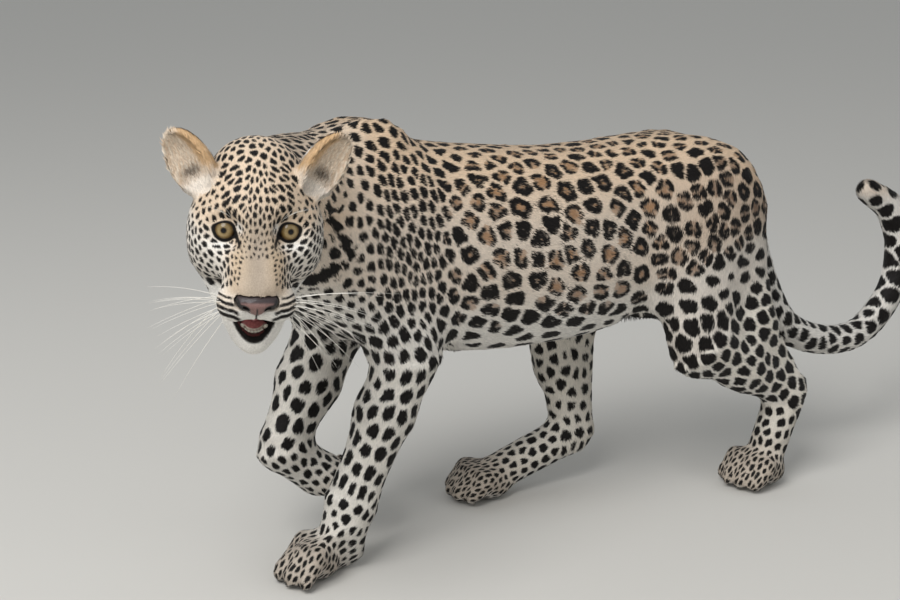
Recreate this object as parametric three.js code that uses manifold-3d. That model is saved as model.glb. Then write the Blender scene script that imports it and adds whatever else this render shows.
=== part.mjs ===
// A young leopard at life size, walking slowly with its head turned to its left.
// Millimetres, +Z up. The spine runs along X with the head towards -X; the left flank faces -Y.
import * as THREE from 'three';
import Module from 'manifold-3d';
import { mergeVertices } from 'three/addons/utils/BufferGeometryUtils.js';

const wasm = await Module();
wasm.setup();

// Driving dimensions: the grid that each region is modelled on, the gap left between parts, and the face
const GAP = 0.3;
const TRUNK_STEP = 29.5;
const NECK_STEP = 26.5;
const LIMB_STEP = 21.6;
const PAW_STEP = 12.6;
const HEAD_STEP = 8.75;
const NOSE_STEP = 5.8;
const TAIL_SIDES = 12;
const EYE_RADIUS = 14.5;
const EYE_AT = [31.5, -4, -5];
const GAZE = [0.2, 0.5, 0.84];
const LID = 3;
const JAW_OPEN = THREE.MathUtils.degToRad(14);

// Coat colours
const SAND = 0xc9a477;
const PALE = 0xe4ddd2;
const NOSE_BROWN = 0x6b5048;
const IRIS = 0xb39a55;
const TONGUE_PINK = 0xc2606a;
const IVORY = 0xe9e0c8;

// Small vector tools on [x, y, z]
const add = (a, b) => [a[0] + b[0], a[1] + b[1], a[2] + b[2]];
const less = (a, b) => [a[0] - b[0], a[1] - b[1], a[2] - b[2]];
const times = (a, k) => [a[0] * k, a[1] * k, a[2] * k];
const dot = (a, b) => a[0] * b[0] + a[1] * b[1] + a[2] * b[2];
const unit = (a) => times(a, 1 / Math.hypot(...a));
const cross = (a, b) => [
  a[1] * b[2] - a[2] * b[1],
  a[2] * b[0] - a[0] * b[2],
  a[0] * b[1] - a[1] * b[0],
];
const between = (a, b, t) => add(a, times(less(b, a), t));

// Fields are negative inside. Each mass carries the radius over which it melts into the rest.
const mass = (field, melt) => ({ field, melt });

function soften(a, b, melt) {
  const h = Math.max(melt - Math.abs(a - b), 0) / melt;
  return Math.min(a, b) - (h * h * melt) / 4;
}

function melted(masses) {
  return (p) => masses.reduce((d, m) => soften(d, m.field(p), m.melt), 1e3);
}

// A rounded limb from a to b; thin squeezes it along the direction across
function limb(a, b, ra, rb, thin = 1, across = [0, 1, 0]) {
  const n = unit(across);
  const k = 1 / thin - 1;
  const squeeze = (p) => add(p, times(n, dot(p, n) * k));
  const a2 = squeeze(a);
  const ab = less(squeeze(b), a2);
  const length2 = dot(ab, ab);
  return (p) => {
    const ap = less(squeeze(p), a2);
    const t = Math.min(1, Math.max(0, dot(ap, ab) / length2));
    const away = Math.hypot(...less(ap, times(ab, t))) - (ra + (rb - ra) * t);
    return away * (thin < 1 ? 0.5 + thin / 2 : 1);
  };
}

// An ellipsoid with radii along its own three axes
function ellipsoid(centre, radii, axes = [[1, 0, 0], [0, 1, 0], [0, 0, 1]]) {
  return (p) => {
    const d = less(p, centre);
    const q = axes.map((axis, i) => dot(d, axis) / radii[i]);
    const k0 = Math.hypot(...q);
    const k1 = Math.hypot(q[0] / radii[0], q[1] / radii[1], q[2] / radii[2]);
    return k1 < 1e-9 ? -Math.min(...radii) : (k0 * (k0 - 1)) / k1;
  };
}

// A smooth run of named sizes along x
function profile(stations, key) {
  const xs = stations.map((s) => s.x);
  const ys = stations.map((s) => s[key]);
  const slope = (i) => {
    const lo = Math.max(i - 1, 0);
    const hi = Math.min(i + 1, xs.length - 1);
    return (ys[hi] - ys[lo]) / (xs[hi] - xs[lo]);
  };
  return (x) => {
    const at = Math.min(Math.max(x, xs[0]), xs[xs.length - 1]);
    let i = 0;
    while (i < xs.length - 2 && at > xs[i + 1]) i += 1;
    const w = xs[i + 1] - xs[i];
    const t = (at - xs[i]) / w;
    const [t2, t3] = [t * t, t * t * t];
    return (2 * t3 - 3 * t2 + 1) * ys[i] + (t3 - 2 * t2 + t) * w * slope(i)
      + (3 * t2 - 2 * t3) * ys[i + 1] + (t3 - t2) * w * slope(i + 1);
  };
}

// Trunk: height of the back and of the belly, and half the width, at stations along the spine
const TRUNK = [
  { x: -312, back: 470, belly: 330, half: 52 },
  { x: -270, back: 512, belly: 290, half: 72 },
  { x: -215, back: 530, belly: 262, half: 84 },
  { x: -150, back: 514, belly: 247, half: 90 },
  { x: -60, back: 500, belly: 235, half: 96 },
  { x: 40, back: 490, belly: 232, half: 98 },
  { x: 130, back: 491, belly: 240, half: 92 },
  { x: 200, back: 494, belly: 262, half: 84 },
  { x: 262, back: 486, belly: 305, half: 76 },
  { x: 318, back: 458, belly: 335, half: 60 },
  { x: 352, back: 420, belly: 345, half: 36 },
];

function trunkField() {
  const [back, belly, half] = ['back', 'belly', 'half'].map((key) => profile(TRUNK, key));
  const [front, rear] = [TRUNK[0].x, TRUNK[TRUNK.length - 1].x];
  const widest = 0.5;
  return ([x, y, z]) => {
    const [top, bottom, w] = [back(x), belly(x), half(x)];
    const zc = bottom + (top - bottom) * widest;
    const h = z > zc ? top - zc : zc - bottom;
    const [qy, qz] = [Math.abs(y) / w, Math.abs(z - zc) / h];
    const k0 = (qy ** 2.3 + qz ** 2.3) ** (1 / 2.3);
    const k1 = Math.hypot(qy / w, qz / h) / Math.max(Math.hypot(qy, qz), 1e-6) * Math.max(k0, 1e-6);
    const side = k1 < 1e-7 ? -Math.min(w, h) : (k0 * (k0 - 1)) / k1;
    const over = Math.max(front - x, x - rear, 0);
    return over > 0 ? Math.hypot(Math.max(side, 0), over) + Math.min(side, 0) * 0.2 : side;
  };
}

// Head frame: yaw turns it to the animal's left, pitch lowers the muzzle, roll tips it
const HEAD_AT = [-434, -210, 470];
const HEAD_YAW = THREE.MathUtils.degToRad(67.5);
const HEAD_PITCH = THREE.MathUtils.degToRad(28.5);
const HEAD_ROLL = THREE.MathUtils.degToRad(-3.5);
const FORWARD = [
  -Math.cos(HEAD_YAW) * Math.cos(HEAD_PITCH),
  -Math.sin(HEAD_YAW) * Math.cos(HEAD_PITCH),
  -Math.sin(HEAD_PITCH),
];
const LEVEL = unit(cross([0, 0, 1], FORWARD));
const UPRIGHT = cross(FORWARD, LEVEL);
const SIDE = add(times(LEVEL, Math.cos(HEAD_ROLL)), times(UPRIGHT, Math.sin(HEAD_ROLL)));
const UP = add(times(LEVEL, -Math.sin(HEAD_ROLL)), times(UPRIGHT, Math.cos(HEAD_ROLL)));

// Head places are [side, up, forward] from the point midway between the eyes
const headPoint = ([s, u, f]) => [times(SIDE, s), times(UP, u), times(FORWARD, f)].reduce(add, HEAD_AT);
const inHead = (p) => {
  const d = less(p, HEAD_AT);
  return [dot(d, SIDE), dot(d, UP), dot(d, FORWARD)];
};
const headFrame = new THREE.Matrix4().makeBasis(
  new THREE.Vector3(...SIDE), new THREE.Vector3(...UP), new THREE.Vector3(...FORWARD),
).setPosition(...HEAD_AT);
const JAW_HINGE = [0, -28, -45];

// The jaw is shaped closed and swung open about its hinge
function swing([s, u, f], angle) {
  const [du, df] = [u - JAW_HINGE[1], f - JAW_HINGE[2]];
  const [c, d] = [Math.cos(angle), Math.sin(angle)];
  return [s, JAW_HINGE[1] + du * c + df * d, JAW_HINGE[2] + df * c - du * d];
}

// Both sides of the head are alike, so a mass is given once and mirrored
const paired = (field) => ([s, u, f]) => field([Math.abs(s), u, f]);
const blob = (centre, radii, melt) => mass(paired(ellipsoid(centre, radii)), melt);
const bar = (a, b, ra, rb, melt) => mass(paired(limb(a, b, ra, rb)), melt);

// Masses of the cranium, brow, cheeks, bridge and whisker pads, in head places
function headMasses() {
  return [
    blob([0, 6, -60], [54, 49, 64], 20),
    blob([0, 3, -18], [43, 35, 40], 26),
    bar([8, -4, 6], [10, -28, 58], 21, 14.5, 18),
    blob([0, -33, 64], [18.5, 13, 17], 10),
    blob([0, -51, 60], [15, 15, 17], 8),
    blob([38, -20, -12], [22, 20, 34], 20),
    blob([42, -30, -36], [29, 40, 42], 26),
    blob([42, -46, -14], [23, 24, 32], 20),
    blob([21.5, -51, 57], [20.5, 18.5, 23], 9),
    blob([0, -34, 20], [36, 24, 40], 18),
    blob([0, -40, -48], [48, 40, 46], 24),
  ];
}

// Masses of the lower jaw, shaped with the mouth closed and then swung open
function jawMasses() {
  const open = (field) => (p) => paired(field)(swing(p, JAW_OPEN));
  return [
    mass(open(ellipsoid([0, -90, 58], [26, 18, 23])), 12),
    mass(open(limb([16, -78, 42], [38, -60, -26], 18, 26)), 12),
    mass(open(ellipsoid([0, -72, 0], [34, 24, 52])), 14),
  ];
}

// The open mouth: the lips part in a wedge that starts at their corners, with the hollow of the mouth behind.
// Bite places are head places turned so that the middle of the wedge runs straight ahead of the hinge.
const BITE_ANGLE = THREE.MathUtils.degToRad(28.5);
const LIP_CORNER = 56;
const LIP_SLOPE = 0.18;
function mouthField(p) {
  const [s, u, f] = swing(p, BITE_ANGLE);
  const high = Math.abs(u - JAW_HINGE[1]);
  const ahead = f - JAW_HINGE[2];
  const lips = Math.max(high - (ahead - LIP_CORNER) * LIP_SLOPE, LIP_CORNER - ahead) * 0.96;
  const hollow = ellipsoid([0, JAW_HINGE[1] - 13, JAW_HINGE[2] + 84], [21, 21, 39])([s, u, f]);
  return soften(lips, hollow, 4);
}

// A shallow dish round each eye
function orbitField(p) {
  const [s, u, f] = p;
  const rim = EYE_AT.map((x, i) => x + 26 * GAZE[i]);
  return ellipsoid(rim, [21, 20, 17])([Math.abs(s), u, f]);
}

const headWhole = melted([...headMasses(), ...jawMasses()]);
const headField = (p) => {
  const q = inHead(p);
  return -soften(-headWhole(q), orbitField(q), 9);
};
const insideMouth = (p) => mouthField(inHead(p));

// Neck: from the withers forward and to the left, up to the back of the skull
const NECK = [
  { at: [-232, -2, 420], r: 100, thin: 0.74 },
  { at: [-298, -26, 440], r: 86, thin: 0.78 },
  { at: [-352, -74, 461], r: 71, thin: 0.84 },
  { at: [-398, -128, 481], r: 57, thin: 0.92 },
];

function neckMasses() {
  return NECK.slice(1).map((end, i) => {
    const start = NECK[i];
    const across = cross([0, 0, 1], less(end.at, start.at));
    return mass(limb(start.at, end.at, start.r, end.r, end.thin, across), 40);
  });
}

// Joints of the four legs. Each paw heads along its own direction on the floor.
const FORE = {
  left: {
    side: -1, heading: 190,
    shoulder: [-262, -68, 395], elbow: [-188, -70, 262], wrist: [-256, -58, 90], knuckle: [-280, -62, 27],
  },
  right: {
    side: 1, heading: 180,
    shoulder: [-272, 68, 392], elbow: [-226, 72, 258], wrist: [-300, 50, 131], knuckle: [-250, 52, 84],
  },
};
const HIND = {
  left: {
    side: -1, heading: 186,
    hip: [268, -50, 400], knee: [240, -84, 224], hock: [404, -66, 126], knuckle: [368, -64, 27],
  },
  right: {
    side: 1, heading: 178,
    hip: [262, 50, 398], knee: [104, 80, 262], hock: [138, 66, 72], knuckle: [12, 74, 27],
  },
};

function foreMasses({ side, shoulder, elbow, wrist, knuckle }) {
  // The lifted leg is bent, so its muscles swell more
  const swell = side < 0 ? 38 : 43;
  const blade = [shoulder[0] + 52, side * 32, side < 0 ? 512 : 500];
  return [
    mass(limb(blade, shoulder, 36, 52, 0.62), 40),
    mass(limb(shoulder, elbow, 50, 38, 0.74), 26),
    mass(limb(add(blade, [30, side * 24, -70]), add(elbow, [8, 0, 18]), 44, 34, 0.66), 26),
    mass(limb(add(elbow, [24, 0, 6]), between(elbow, wrist, 0.35), 19, 32, 0.85), 16),
    mass(limb(elbow, between(elbow, wrist, 0.4), swell, swell - 1.5, 0.9), 18),
    mass(limb(between(elbow, wrist, 0.4), wrist, swell - 1.5, 31, 0.95), 16),
    mass(limb(wrist, knuckle, 31, 29, 1), 14),
  ];
}

function hindMasses({ side, hip, knee, hock, knuckle }) {
  const heel = add(hock, times(unit(less(hock, knuckle)), 24));
  const buttock = [322, side * 42, 372];
  const ham = add(between(knee, hock, 0.34), [side < 0 ? 42 : 30, -side * 6, 44]);
  const calf = between(knee, hock, 0.45);
  return [
    mass(limb(hip, knee, 84, 40, 0.6), 34),
    mass(limb(buttock, ham, 44, 32, 0.68), 34),
    mass(limb(add(hip, [-60, side * 6, -20]), knee, 56, 38, 0.58), 34),
    mass(limb(knee, calf, 39, 35, 0.82), 22),
    mass(limb(calf, hock, 35, 27, 0.88), 18),
    mass(limb(ham, heel, 30, 14, 0.7), 22),
    mass(limb(hock, heel, 26, 16, 0.9), 10),
    mass(limb(hock, knuckle, 28, 26, 1), 14),
  ];
}

// Toes fan out from the knuckles; the planted sole lies on the floor
function pawMasses(knuckle, heading, reach, size, droop = 0, over = 1) {
  const turn = THREE.MathUtils.degToRad(heading);
  const dip = THREE.MathUtils.degToRad(droop);
  const ahead = [Math.cos(turn) * Math.cos(dip), Math.sin(turn) * Math.cos(dip), -Math.sin(dip)];
  const wide = unit(cross([0, 0, 1], ahead));
  const lift = times(cross(ahead, wide), over);
  const place = (a, w, l) => {
    const beside = add(times(wide, w * size), times(lift, l * size));
    return add(knuckle, add(times(ahead, a * size), beside));
  };
  const palm = mass(ellipsoid(place(4, 0, -6), [36 * size, 38 * size, 24 * size], [ahead, wide, lift]), 10);
  const toes = [-1, -0.36, 0.36, 1].flatMap((row) => {
    const long = reach - 12 * row * row;
    const knee = place(long * 0.52, row * 29, 7);
    return [
      mass(limb(place(2, row * 22, 6), knee, 15 * size, 15.5 * size), 5),
      mass(limb(knee, place(long, row * 32, -13), 15.5 * size, 13 * size), 5),
    ];
  });
  return [palm, ...toes];
}

// Tail: centre line and radius from root to tip
const TAIL = [
  { at: [330, 0, 428], r: 34 },
  { at: [363, -3, 360], r: 30 },
  { at: [395, -7, 274], r: 27 },
  { at: [440, -9, 204], r: 25 },
  { at: [512, -7, 171], r: 23.5 },
  { at: [590, -2, 172], r: 22.5 },
  { at: [652, 4, 228], r: 22.5 },
  { at: [664, 8, 294], r: 23 },
  { at: [642, 8, 346], r: 23.5 },
  { at: [600, 6, 374], r: 20 },
];

const tailCurve = new THREE.CatmullRomCurve3(TAIL.map(({ at }) => new THREE.Vector3(...at)));
const tailRadius = profile(TAIL.map(({ r }, i) => ({ x: i / (TAIL.length - 1), r })), 'r');

function tailMasses() {
  const count = 27;
  const at = (i) => tailCurve.getPoint(i / count).toArray();
  const size = (i) => tailRadius(i / count);
  const span = (_, i) => mass(limb(at(i), at(i + 1), size(i), size(i + 1)), i < 3 ? 26 : 6);
  return Array.from({ length: count }, span);
}

// A closed tube through rings that stand square to the tail, each with a centre, a direction and a radius
function tube(rings) {
  const positions = [];
  rings.forEach(({ at, along, r }) => {
    const side = new THREE.Vector3(0, 1, 0).projectOnPlane(along).normalize();
    const top = along.clone().cross(side);
    for (let k = 0; k < TAIL_SIDES; k += 1) {
      const turn = (k / TAIL_SIDES) * 2 * Math.PI;
      const out = side.clone().multiplyScalar(Math.cos(turn) * r);
      out.addScaledVector(top, Math.sin(turn) * r).add(at);
      positions.push(...out.toArray());
    }
  });
  const faces = [];
  const last = (rings.length - 1) * TAIL_SIDES;
  for (let k = 0; k < TAIL_SIDES; k += 1) {
    const next = (k + 1) % TAIL_SIDES;
    for (let i = 0; i < last; i += TAIL_SIDES) {
      const beyond = i + TAIL_SIDES;
      faces.push(i + k, i + next, beyond + next, i + k, beyond + next, beyond + k);
    }
    if (k > 0 && k < TAIL_SIDES - 1) faces.push(0, k + 1, k, last, last + k, last + k + 1);
  }
  return new THREE.BufferGeometry()
    .setAttribute('position', new THREE.BufferAttribute(new Float32Array(positions), 3))
    .setIndex(faces);
}

// The whole animal as one field
const sides = ['left', 'right'];
const FORE_REACH = 56;
const HIND_REACH = 52;
const bodyMasses = [
  mass(trunkField(), 40),
  mass(ellipsoid([-296, -4, 392], [46, 56, 70]), 40),
  ...neckMasses(),
  mass(headField, 26),
  ...sides.flatMap((k) => foreMasses(FORE[k])),
  ...sides.flatMap((k) => hindMasses(HIND[k])),
  ...pawMasses(FORE.left.knuckle, FORE.left.heading, FORE_REACH, 1.06),
  ...pawMasses(FORE.right.knuckle, FORE.right.heading + 180, FORE_REACH, 0.98, 20, -1),
  ...pawMasses(HIND.left.knuckle, HIND.left.heading, HIND_REACH, 0.96),
  ...pawMasses(HIND.right.knuckle, HIND.right.heading, HIND_REACH, 0.96),
  ...tailMasses(),
];
const bodyField = melted(bodyMasses);

// Only the masses that can reach a box are kept, so that a small box is quick
function near(masses, box) {
  const centre = box.getCenter(new THREE.Vector3()).toArray();
  const reach = box.getSize(new THREE.Vector3()).length() / 2;
  return masses.filter((m) => m.field(centre) < reach * 1.9 + m.melt + 30);
}

// Parts two folds that meet corner to corner across a face of the grid, so that no edge joins four faces
function partFolds(value, n, id, step) {
  const squares = [[1, 0, 0, 0, 1, 0], [1, 0, 0, 0, 0, 1], [0, 1, 0, 0, 0, 1]];
  let changed = true;
  while (changed) {
    changed = false;
    for (let k = 0; k < n[2] - 1; k += 1) {
      for (let j = 0; j < n[1] - 1; j += 1) {
        for (let i = 0; i < n[0] - 1; i += 1) {
          squares.forEach(([a, b, c, d, e, f]) => {
            const ring = [
              id(i, j, k), id(i + a, j + b, k + c),
              id(i + a + d, j + b + e, k + c + f), id(i + d, j + e, k + f),
            ];
            const [p, q, r, t] = ring.map((corner) => value[corner] < 0);
            if (p !== r || q !== t || p === q) return;
            const inner = p ? [ring[0], ring[2]] : [ring[1], ring[3]];
            value[value[inner[0]] > value[inner[1]] ? inner[0] : inner[1]] = step * 0.02;
            changed = true;
          });
        }
      }
    }
  }
}

// A closed surface round the inside of a field: one vertex in each grid cell that the surface crosses
function surfaceOf(field, box, step) {
  const low = box.min.toArray();
  const size = box.getSize(new THREE.Vector3()).toArray();
  const n = size.map((s) => Math.ceil(s / step) + 1);
  const id = (i, j, k) => i + n[0] * (j + n[1] * k);
  const at = (i, j, k) => [low[0] + i * step, low[1] + j * step, low[2] + k * step];
  const value = new Float64Array(n[0] * n[1] * n[2]);
  for (let k = 0; k < n[2]; k += 1) {
    for (let j = 0; j < n[1]; j += 1) {
      for (let i = 0; i < n[0]; i += 1) {
        const edge = i === 0 || j === 0 || k === 0 || i === n[0] - 1 || j === n[1] - 1 || k === n[2] - 1;
        const d = field(at(i, j, k));
        value[id(i, j, k)] = edge ? Math.max(d, step * 0.5) : d;
      }
    }
  }
  partFolds(value, n, id, step);
  const corners = Array.from({ length: 8 }, (_, c) => [c & 1, (c >> 1) & 1, c >> 2]);
  const edges = corners.flatMap((a, i) => [1, 2, 4].filter((b) => !(i & b)).map((b) => [i, i | b]));
  const vertexOf = new Map();
  const positions = [];
  for (let k = 0; k < n[2] - 1; k += 1) {
    for (let j = 0; j < n[1] - 1; j += 1) {
      for (let i = 0; i < n[0] - 1; i += 1) {
        const v = corners.map(([a, b, c]) => value[id(i + a, j + b, k + c)]);
        const crossed = edges.filter(([a, b]) => v[a] < 0 !== v[b] < 0);
        if (!crossed.length) continue;
        const sum = crossed.reduce((total, [a, b]) => {
          const t = v[a] / (v[a] - v[b]);
          return add(total, between(corners[a], corners[b], t));
        }, [0, 0, 0]);
        const inside = times(sum, 1 / crossed.length);
        vertexOf.set(id(i, j, k), positions.length / 3);
        positions.push(...add(at(i, j, k), times(inside, step)));
      }
    }
  }
  const settled = settle(field, positions, step, box);
  const faces = [];
  const point = (v) => settled.slice(v * 3, v * 3 + 3);
  const quad = (a, b, c, d, flip) => {
    const q = flip ? [a, d, c, b] : [a, b, c, d];
    const [ac, bd] = [[0, 2], [1, 3]].map(([m, o]) => Math.hypot(...less(point(q[m]), point(q[o]))));
    faces.push(...(ac < bd ? [q[0], q[1], q[2], q[0], q[2], q[3]] : [q[0], q[1], q[3], q[1], q[2], q[3]]));
  };
  for (let k = 0; k < n[2] - 1; k += 1) {
    for (let j = 0; j < n[1] - 1; j += 1) {
      for (let i = 0; i < n[0] - 1; i += 1) {
        const here = value[id(i, j, k)] < 0;
        const cell = (a, b, c) => vertexOf.get(id(i - a, j - b, k - c));
        const crosses = (a, b, c) => here !== value[id(i + a, j + b, k + c)] < 0;
        const first = cell(0, 0, 0);
        if (crosses(1, 0, 0)) quad(first, cell(0, 1, 0), cell(0, 1, 1), cell(0, 0, 1), !here);
        if (crosses(0, 1, 0)) quad(first, cell(0, 0, 1), cell(1, 0, 1), cell(1, 0, 0), !here);
        if (crosses(0, 0, 1)) quad(first, cell(1, 0, 0), cell(1, 1, 0), cell(0, 1, 0), !here);
      }
    }
  }
  return new THREE.BufferGeometry()
    .setAttribute('position', new THREE.BufferAttribute(new Float32Array(settled), 3))
    .setIndex(faces);
}

// Slides each vertex along the slope of the field until it lies on the surface
function settle(field, positions, step, box) {
  const inner = box.clone().expandByScalar(-1.6 * step);
  const e = step * 0.05;
  const out = positions.slice();
  for (let v = 0; v < out.length; v += 3) {
    let p = [out[v], out[v + 1], out[v + 2]];
    if (!inner.containsPoint(new THREE.Vector3(...p))) continue;
    for (let round = 0; round < 2; round += 1) {
      const d = field(p);
      const g = [0, 1, 2].map((axis) => {
        const q = p.slice();
        q[axis] += e;
        return (field(q) - d) / e;
      });
      const steep = Math.max(dot(g, g), 0.2);
      const move = times(g, -d / steep);
      const most = 0.3 * step;
      p = add(p, times(move, Math.min(1, most / Math.max(Math.hypot(...move), 1e-9))));
    }
    [out[v], out[v + 1], out[v + 2]] = p;
  }
  return out;
}

// Solids from closed geometry, and back
function solidOf(geometry) {
  const bare = geometry.clone();
  ['normal', 'uv'].forEach((name) => bare.deleteAttribute(name));
  const merged = mergeVertices(bare, 1e-3);
  return new wasm.Manifold(new wasm.Mesh({
    numProp: 3,
    vertProperties: merged.attributes.position.array,
    triVerts: new Uint32Array(merged.index.array),
  }));
}

function geometryOf(solid) {
  const mesh = solid.getMesh();
  return new THREE.BufferGeometry()
    .setAttribute('position', new THREE.BufferAttribute(mesh.vertProperties, 3))
    .setIndex(new THREE.BufferAttribute(mesh.triVerts, 1));
}

const largest = (solid) => solid.decompose().reduce((a, b) => (b.volume() > a.volume() ? b : a));

// Keeps what lies on the side that the normal points to, half the gap away from the plane
const keep = (solid, { at, normal }) => {
  const n = unit(normal);
  return solid.trimByPlane(n, dot(n, at) + GAP / 2);
};
const flip = ({ at, normal }) => ({ at, normal: times(normal, -1) });

// The one body of a cut solid that holds, or comes nearest to, a place
function bodyAt(solid, place) {
  const probe = solidOf(new THREE.IcosahedronGeometry(3, 0).translate(...place));
  const pieces = solid.decompose();
  const holding = pieces.find((piece) => piece.intersect(probe).volume() > 1);
  return holding ?? largest(solid);
}

// Where one part of the body ends and the next begins
const limbCut = (from, joint, to) => ({
  at: joint,
  normal: add(unit(less(to, joint)), unit(less(joint, from))),
});
const tailAt = (i) => ({
  at: TAIL[i].at,
  normal: tailCurve.getTangent(i / (TAIL.length - 1)).toArray(),
});
const CUTS = {
  skull: { at: between(NECK[2].at, NECK[3].at, 1.2), normal: less(NECK[3].at, NECK[2].at) },
  neckBase: { at: [-272, -14, 440], normal: [-0.86, -0.3, 0.22] },
  ribs: { at: [-45, 0, 0], normal: [1, 0, 0] },
  loin: { at: [148, 0, 0], normal: [1, 0, 0] },
  tailRoot: tailAt(1),
};

// Space beside the trunk that holds a leg: above, its inner face leans in with the ribs, and below the
// belly it is a plain block on that side
const LEGS = {
  fore: { inner: 56, lean: 20, x: [-345, -112], low: [-400, -110] },
  hind_left: { inner: 44, lean: 16, x: [135, 480], low: [-110, 480] },
  hind_right: { inner: 44, lean: 16, x: [30, 480], low: [-110, 480] },
};
const LEG_TOP = 470;
const BELOW_BELLY = 215;

function legSpace({ inner, lean, x, low }, side, grow) {
  const depth = 220;
  const tall = LEG_TOP - BELOW_BELLY + 60;
  const upper = new THREE.BoxGeometry(x[1] - x[0] + 2 * grow, depth, tall + 2 * grow);
  upper.translate(0, side * (depth / 2 - grow), 0);
  upper.rotateX(-side * THREE.MathUtils.degToRad(lean));
  upper.translate((x[0] + x[1]) / 2, side * inner, LEG_TOP - tall / 2);
  const lower = new THREE.BoxGeometry(low[1] - low[0] + 2 * grow, depth, BELOW_BELLY + 40);
  lower.translate((low[0] + low[1]) / 2, side * (depth / 2 + 2), (BELOW_BELLY - 40) / 2);
  return solidOf(upper).add(solidOf(lower));
}

const box = (low, high) => new THREE.Box3(new THREE.Vector3(...low), new THREE.Vector3(...high));

// One region of the animal at its own grid, with the floor cut flat
function region(low, high, step, planes = []) {
  const space = box(low, high);
  const field = melted(near(bodyMasses, space));
  const raw = solidOf(surfaceOf(field, space, step));
  return planes.reduce(keep, raw).trimByPlane([0, 0, 1], 0);
}

const group = new THREE.Group();
function show(name, solid, colour, roughness = 0.85) {
  const material = new THREE.MeshStandardMaterial({ color: colour, roughness, metalness: 0 });
  const mesh = new THREE.Mesh(geometryOf(solid), material);
  mesh.name = name;
  group.add(mesh);
}

// Trunk, neck and tail
const sideOf = { left: -1, right: 1 };
const foreSpaces = sides.map((k) => legSpace(LEGS.fore, sideOf[k], GAP));
const hindSpaces = sides.map((k) => legSpace(LEGS[`hind_${k}`], sideOf[k], GAP));
const without = (solid, cutters) => cutters.reduce((rest, cutter) => rest.subtract(cutter), solid);

function buildTrunk() {
  const { neckBase, ribs, loin, tailRoot, skull } = CUTS;
  const chest = region([-420, -170, 170], [20, 170, 600], TRUNK_STEP, [flip(neckBase), flip(ribs)]);
  show('chest', bodyAt(without(chest, foreSpaces), [-200, 0, 380]), SAND);
  const belly = region([-120, -170, 170], [230, 170, 580], TRUNK_STEP, [ribs, flip(loin)]);
  show('belly', bodyAt(without(belly, hindSpaces), [50, 0, 380]), SAND);
  const rump = region([80, -170, 170], [450, 170, 580], TRUNK_STEP, [loin, flip(tailRoot)]);
  show('rump', bodyAt(without(rump, hindSpaces), [250, 0, 420]), SAND);
  const neck = region([-520, -260, 280], [-170, 140, 640], NECK_STEP, [neckBase, flip(skull)]);
  show('neck', bodyAt(without(neck, foreSpaces), between(NECK[1].at, NECK[2].at, 0.5)), SAND);
}

// The tail in four stretches, the last with a round tip
function buildTail() {
  const spans = TAIL.length - 1;
  const length = tailCurve.getLength();
  const ends = [1, 3, 5, 7, spans];
  const ring = (t) => ({ at: tailCurve.getPoint(t), along: tailCurve.getTangent(t), r: tailRadius(t) });
  ends.slice(1).forEach((end, i) => {
    const trim = GAP / 2 / length;
    const [from, to] = [ends[i] / spans + trim, end / spans - trim];
    const rings = Array.from({ length: 8 }, (_, k) => ring(THREE.MathUtils.lerp(from, to, k / 7)));
    if (end === spans) {
      const tip = rings[rings.length - 1];
      [25, 50, 75].map(THREE.MathUtils.degToRad).forEach((turn) => {
        const at = tip.at.clone().addScaledVector(tip.along, tip.r * Math.sin(turn));
        rings.push({ at, along: tip.along, r: tip.r * Math.cos(turn) });
      });
    }
    show(`tail_${i + 1}`, solidOf(tube(rings)), SAND);
  });
}

// A stretch of leg round some joints, inside the space of its side
function legPiece(points, pad, step, planes, space) {
  const corners = points.map((p) => new THREE.Vector3(...p));
  const reach = new THREE.Box3().setFromPoints(corners).expandByScalar(pad);
  return region(reach.min.toArray(), reach.max.toArray(), step, planes).intersect(space);
}

function buildForeLeg(name) {
  const { shoulder, elbow, wrist, knuckle } = FORE[name];
  const side = sideOf[name];
  const space = legSpace(LEGS.fore, side, 0);
  const atElbow = limbCut(shoulder, elbow, wrist);
  const atWrist = limbCut(elbow, wrist, knuckle);
  const corners = [[-345, side * 60, LEG_TOP], [-112, side * 60, 200]];
  const arm = legPiece([...corners, shoulder, elbow], 50, LIMB_STEP * 1.3, [flip(atElbow)], space);
  show(`upper_arm_${name}`, bodyAt(arm, between(shoulder, elbow, 0.7)), SAND);
  const forearm = legPiece([elbow, wrist], 80, LIMB_STEP, [atElbow, flip(atWrist)], space);
  show(`forearm_${name}`, bodyAt(forearm, between(elbow, wrist, 0.5)), PALE);
  const paw = legPiece([wrist, knuckle], 105, PAW_STEP, [atWrist], space);
  show(`forepaw_${name}`, bodyAt(paw, knuckle), PALE);
}

function buildHindLeg(name) {
  const { hip, knee, hock, knuckle } = HIND[name];
  const side = sideOf[name];
  const legs = LEGS[`hind_${name}`];
  const space = legSpace(legs, side, 0);
  const atKnee = { at: knee, normal: add(unit(less(hock, knee)), times(unit(less(knee, hip)), 0.6)) };
  const atHock = { at: between(hock, knuckle, 0.22), normal: less(knuckle, hock) };
  const corners = [[legs.x[0], side * 60, LEG_TOP], [400, side * 60, 200]];
  const thigh = legPiece([...corners, hip, knee], 50, LIMB_STEP * 1.4, [flip(atKnee)], space);
  show(`thigh_${name}`, bodyAt(thigh, between(hip, knee, 0.6)), SAND);
  const shank = legPiece([knee, hock], 95, LIMB_STEP, [atKnee, flip(atHock)], space);
  show(`shank_${name}`, bodyAt(shank, between(knee, hock, 0.6)), PALE);
  const foot = legPiece([hock, knuckle], 95, PAW_STEP, [atHock], space);
  show(`hind_foot_${name}`, bodyAt(foot, knuckle), PALE);
}

// A solid drawn in the head's own frame
const headSolid = (geometry) => solidOf(geometry.applyMatrix4(headFrame));

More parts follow.
